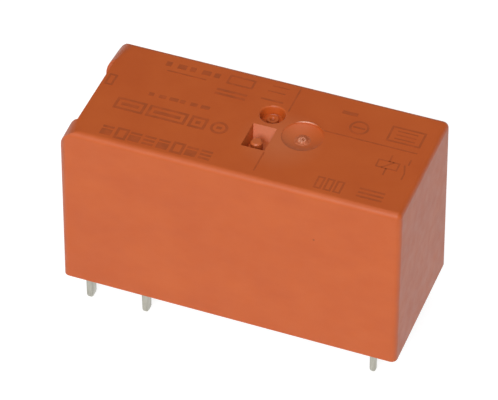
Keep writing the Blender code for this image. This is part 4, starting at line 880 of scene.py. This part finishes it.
def pin_coat(bm, x, y, half_x, half_y, power, phase):
    """The coat of one pin: a stem of even sections, then a quarter round to the tip."""
    rows = []
    tip_start = COAT_TIP + COAT_TIP_LENGTH
    for row in range(STEM_ROWS + TIP_ROWS):
        if row < STEM_ROWS:
            z, size = COAT_TOP + (tip_start - COAT_TOP) * row / STEM_ROWS, 1.0
        else:
            turn = math.pi / 2 * (row - STEM_ROWS) / TIP_ROWS
            z, size = tip_start - COAT_TIP_LENGTH * math.sin(turn), math.cos(turn)
        lump = size * lumpy(z, phase)
        rows.append(coat_section(bm, x, y, z, half_x * lump, half_y * lump, power))
    tip = bm.verts.new((x, y, COAT_TIP))
    bm.faces.new(rows[0])
    for step in range(SECTION_STEPS):
        after = (step + 1) % SECTION_STEPS
        for upper, lower in zip(rows, rows[1:]):
            bm.faces.new((upper[step], upper[after], lower[after], lower[step]))
        bm.faces.new((rows[-1][step], rows[-1][after], tip))

def make_tin_coat():
    bm = bmesh.new()
    for index, (x, half_x, half_y, power) in enumerate(PIN_COATS):
        pin_coat(bm, x, -PIN_ROW, half_x, half_y, power, LUMP_PHASE * index)
        pin_coat(bm, x, PIN_ROW, half_x, half_y, power, LUMP_PHASE * index + REAR_PHASE)
    bmesh.ops.recalc_face_normals(bm, faces=bm.faces)
    bmesh.ops.scale(bm, vec=(MM, MM, MM), verts=bm.verts)
    for face in bm.faces:
        face.smooth = len(face.verts) < 5
    mesh = bpy.data.meshes.new("tin_coat")
    bm.to_mesh(mesh)
    bm.free()
    coat = bpy.data.objects.new("tin_coat", mesh)
    bpy.context.scene.collection.objects.link(coat)
    return coat

tin_coat = make_tin_coat()
tin_coat.data.materials.append(tin)
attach(tin_coat, "housing")
print("tin coat:", len(tin_coat.data.polygons), "faces")

# %% [markdown]
# ## The black base and the barrier
# Both are moulded in black, glass-filled plastic. The fibres leave faint pale streaks along the flow
# and a dry, matt skin. One flat black would show no form at all, so the colour varies a little: the
# streaks are noise drawn out along X, and scattered cells give the dull glints of fibres that end at
# the surface.

# %% Black moulding
BLACK = (0.020, 0.019, 0.019)
BLACK_STREAK = (0.045, 0.043, 0.042)
FIBRE_GLINT = (0.110, 0.105, 0.100)

def black_moulding():
    finish, tree, shader = new_finish("black_moulding", 0.55)
    streaks = spread(tree, noise(tree, 1.1, 4.0, (0.25, 1, 1)), 0, 1)
    fibres = spread(tree, cells(tree, 0.30, (0.3, 1, 1)), 0.35, 0, 0.0, 0.10)
    colour_from(tree, shader, mixed(tree, fibres, mixed(tree, streaks, BLACK, BLACK_STREAK), FIBRE_GLINT))
    roughness_from(tree, shader, spread(tree, noise(tree, 0.8, 3.0), 0.48, 0.64))
    relief(tree, shader, noise(tree, 0.12, 3.0), 0.006)
    return finish

black = black_moulding()
dress("base", "housing", 0.05, black)
dress("insulation_barrier", "housing", 0.05, black)

# %% [markdown]
# ## The sealing resin
# The joint round the base is filled with a little amber resin. Poured resin levels itself, so it is
# glossy, with a slow waviness and a few sunken bubbles. It could let light through, but the ring is
# thin and lies on black, so a clear coat over mottled amber looks the same and renders faster. Cells
# cut off near their centres make the bubbles, and a wide noise makes the waves.

# %% Amber resin
AMBER = (0.190, 0.085, 0.026)
AMBER_DEEP = (0.105, 0.042, 0.012)

def amber_resin():
    finish, tree, shader = new_finish("amber_resin", 0.16)
    shader.inputs["Coat Weight"].default_value = 0.4
    colour_from(tree, shader, mixed(tree, spread(tree, noise(tree, 1.6, 3.0), 0, 1), AMBER, AMBER_DEEP))
    roughness_from(tree, shader, spread(tree, noise(tree, 0.7, 3.0), 0.10, 0.24))
    relief(tree, shader, noise(tree, 1.8, 1.0), 0.05)
    relief(tree, shader, spread(tree, cells(tree, 0.9), 0, 1, 0.0, 0.09), 0.04)
    return finish

dress("sealing_compound", "housing", 0.03, amber_resin())

# %% [markdown]
# ## The bobbin
# The coil former is unfilled nylon in its natural cream, a little translucent and satin. Opaque
# cream would look like card. A touch of scattering below the skin softens its shadows, and faint
# clouds show where the plastic flowed.

# %% Natural nylon
CREAM = (0.730, 0.670, 0.550)
CREAM_WARM = (0.660, 0.580, 0.440)

def natural_nylon():
    finish, tree, shader = new_finish("natural_nylon", 0.45)
    shader.inputs["Subsurface Weight"].default_value = 0.15
    shader.inputs["Subsurface Scale"].default_value = 0.4 * MM
    colour_from(tree, shader, mixed(tree, spread(tree, noise(tree, 2.2, 4.0), 0, 1), CREAM, CREAM_WARM))
    roughness_from(tree, shader, spread(tree, noise(tree, 0.8, 3.0), 0.38, 0.52))
    relief(tree, shader, noise(tree, 0.15, 3.0), 0.005)
    return finish

dress("bobbin", "housing", 0.06, natural_nylon())

# %% [markdown]
# ## The winding
# The coil is some thousands of turns of hair-fine enamelled wire. At this size what counts is the
# outermost layer: even, slightly slanted ridges with a groove between turns. A texture could fake
# them, but the winding is built here as a real surface. Each point's radius follows a half circle
# across the wire, and the pattern moves on by one wire in each round, so the ridges form a helix.

# %% Wound coil
WIRE = 0.16
AROUND = 72
ACROSS = 6
GROOVE = 0.030

def wound_coil():
    low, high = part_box("coil_winding")
    axis_y, axis_z = (low.y + high.y) / 2, (low.z + high.z) / 2
    radius = (high.z - low.z) / 2
    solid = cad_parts["coil_winding"].data
    hollow = min(math.hypot(v.co.y - axis_y, v.co.z - axis_z) for v in solid.vertices)
    rows = int((high.x - low.x) / MM / WIRE * ACROSS)
    edge = WIRE * MM
    bm = bmesh.new()

    def loop(x, radii):
        turns = [2 * math.pi * step / AROUND for step in range(AROUND)]
        return [bm.verts.new((x, axis_y + r * math.sin(t), axis_z + r * math.cos(t)))
                for r, t in zip(radii, turns)]

    loops = [loop(low.x, [hollow] * AROUND)]
    for row in range(rows + 1):
        x = low.x + (high.x - low.x) * row / rows
        sunk = edge * (1 - min(1.0, (x - low.x) / edge, (high.x - x) / edge))
        radii = []
        for step in range(AROUND):
            phase = (row / ACROSS - step / AROUND) % 1.0
            ridge = math.sqrt(max(0.0, 1 - (2 * phase - 1) ** 2))
            radii.append(radius - GROOVE * MM * (1 - ridge) - sunk)
        loops.append(loop(x, radii))
    loops.append(loop(high.x, [hollow] * AROUND))
    for first, second in zip(loops, loops[1:] + loops[:1]):
        for step in range(AROUND):
            after = (step + 1) % AROUND
            bm.faces.new((first[step], second[step], second[after], first[after]))
    bmesh.ops.recalc_face_normals(bm, faces=bm.faces)
    for face in bm.faces:
        face.smooth = True
    mesh = bpy.data.meshes.new("wound_coil")
    bm.to_mesh(mesh)
    bm.free()
    coil = bpy.data.objects.new("wound_coil", mesh)
    bpy.context.scene.collection.objects.link(coil)
    return coil

coil = wound_coil()
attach(coil, "housing")
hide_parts("coil_winding")
print("wound coil:", len(coil.data.polygons), "faces")

# %% [markdown]
# ## Enamelled wire
# The enamel is a clear amber lacquer over bright copper, so the wire is a deep copper red with a
# sharp gloss of its own. The lacquer could be a clear shell round the wire, but it is only some
# hundredths of a millimetre thick, and the shader's coat layer gives the same double gloss. Bands of
# noise set the turns apart. The two ends of the winding share the finish. They are round wire with
# no edges to ease, so they stay as they are packed.

# %% Enamelled copper
COPPER_RED = (0.390, 0.085, 0.022)
COPPER_DARK = (0.250, 0.045, 0.012)

def enamelled_copper():
    finish, tree, shader = new_finish("enamelled_copper", 0.32, 0.7)
    shader.inputs["Coat Weight"].default_value = 0.6
    shader.inputs["Coat Roughness"].default_value = 0.15
    turns = spread(tree, noise(tree, 0.30, 2.0, (1, 0.15, 0.15)), 0, 1)
    colour_from(tree, shader, mixed(tree, turns, COPPER_RED, COPPER_DARK))
    roughness_from(tree, shader, spread(tree, noise(tree, 0.9, 3.0), 0.25, 0.42))
    return finish

copper_wire = enamelled_copper()
coil.data.materials.append(copper_wire)
for node in ("coil_lead_front", "coil_lead_rear"):
    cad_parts[node].material_slots[0].material = copper_wire
print("wire done")

# %% [markdown]
# ## The iron circuit
# Core, yoke and armature are soft iron with a thin galvanic plating. The core is turned, so fine
# rings run round it. The yoke and the armature are stamped from rolled sheet, with the rolling marks
# along the strip. The shader can draw out its highlights by itself, but noise that is drawn out also
# shows the single marks. One function makes both finishes: only the direction of the marks differs.

# %% Plated iron
PLATED = (0.420, 0.425, 0.435)
PLATED_DULL = (0.300, 0.300, 0.300)

def plated_iron(name, stretch):
    finish, tree, shader = new_finish(name, 0.36, 1.0)
    bloom = spread(tree, noise(tree, 1.8, 4.0), 0, 1)
    colour_from(tree, shader, mixed(tree, bloom, PLATED, PLATED_DULL))
    roughness_from(tree, shader, spread(tree, noise(tree, 0.9, 4.0), 0.28, 0.46))
    relief(tree, shader, noise(tree, 0.05, 2.0, stretch), 0.004)
    relief(tree, shader, noise(tree, 0.5, 2.0), 0.008)
    return finish

dress("core", "housing", 0.06, plated_iron("turned_iron", (1, 0.1, 0.1)))
rolled_iron = plated_iron("rolled_iron", (0.06, 1, 0.06))
dress("yoke", "housing", 0.08, rolled_iron)
dress("armature", "armature", 0.06, rolled_iron)

# %% [markdown]
# ## The leaf and the clip
# Both springs are punched from rolled copper alloy. Their faces keep the long, fine rolling lines,
# and heat and handling leave a faint brown tarnish. The iron's finish in a warmer colour would come
# close, but it has no tarnish. So noise is drawn out along the leaf for the lines, and a wide one
# carries the tarnish.

# %% Rolled copper alloy
SPRING_BRIGHT = (0.560, 0.270, 0.125)
SPRING_TARNISH = (0.380, 0.160, 0.070)

def rolled_copper():
    finish, tree, shader = new_finish("rolled_copper", 0.30, 1.0)
    tarnish = spread(tree, noise(tree, 2.5, 5.0), 0, 1, 0.38, 0.75)
    colour_from(tree, shader, mixed(tree, tarnish, SPRING_BRIGHT, SPRING_TARNISH))
    roughness_from(tree, shader, spread(tree, noise(tree, 0.07, 2.0, (1, 1, 0.05)), 0.22, 0.40))
    relief(tree, shader, noise(tree, 0.05, 2.0, (1, 1, 0.05)), 0.003)
    return finish

spring_copper = rolled_copper()
dress("contact_spring", "leaf", 0.03, spring_copper)
dress("armature_clip", "housing", 0.03, spring_copper)

# %% [markdown]
# ## The contacts
# The contact heads are silver alloy, bright where they were struck and greyed by a film of sulphide.
# Dents could be modelled, but on a head this small relief in the shader is enough. Small cells give
# the faint hammered look of the struck face, and noise spreads the film.

# %% Silver contacts
SILVER = (0.680, 0.670, 0.630)
SILVER_FILM = (0.400, 0.370, 0.320)

def struck_silver():
    finish, tree, shader = new_finish("struck_silver", 0.22, 1.0)
    film = spread(tree, noise(tree, 0.8, 4.0), 0, 1, 0.40, 0.75)
    colour_from(tree, shader, mixed(tree, film, SILVER, SILVER_FILM))
    roughness_from(tree, shader, spread(tree, noise(tree, 0.5, 3.0), 0.15, 0.34))
    relief(tree, shader, cells(tree, 0.22), 0.006)
    return finish

silver = struck_silver()
dress("fixed_contact", "housing", 0.05, silver)
dress("moving_contact", "leaf", 0.05, silver)

# %% [markdown]
# ## The slide
# The slide is a thin white moulding in a warm white with hardly any clouding. It rubs in its guides,
# so its gloss runs in streaks along its travel. A separate finish for the rubbed edges could show
# that, but noise drawn out along X does it in one.

# %% White slide
CARD_WHITE = (0.780, 0.760, 0.700)
CARD_SHADE = (0.700, 0.670, 0.600)

def white_moulding():
    finish, tree, shader = new_finish("white_moulding", 0.42)
    clouds = spread(tree, noise(tree, 2.0, 4.0), 0, 1)
    colour_from(tree, shader, mixed(tree, clouds, CARD_WHITE, CARD_SHADE))
    roughness_from(tree, shader, spread(tree, noise(tree, 0.4, 2.0, (0.1, 1, 1)), 0.30, 0.50))
    relief(tree, shader, noise(tree, 0.14, 3.0), 0.004)
    return finish

dress("actuator_card", "slide", 0.06, white_moulding())
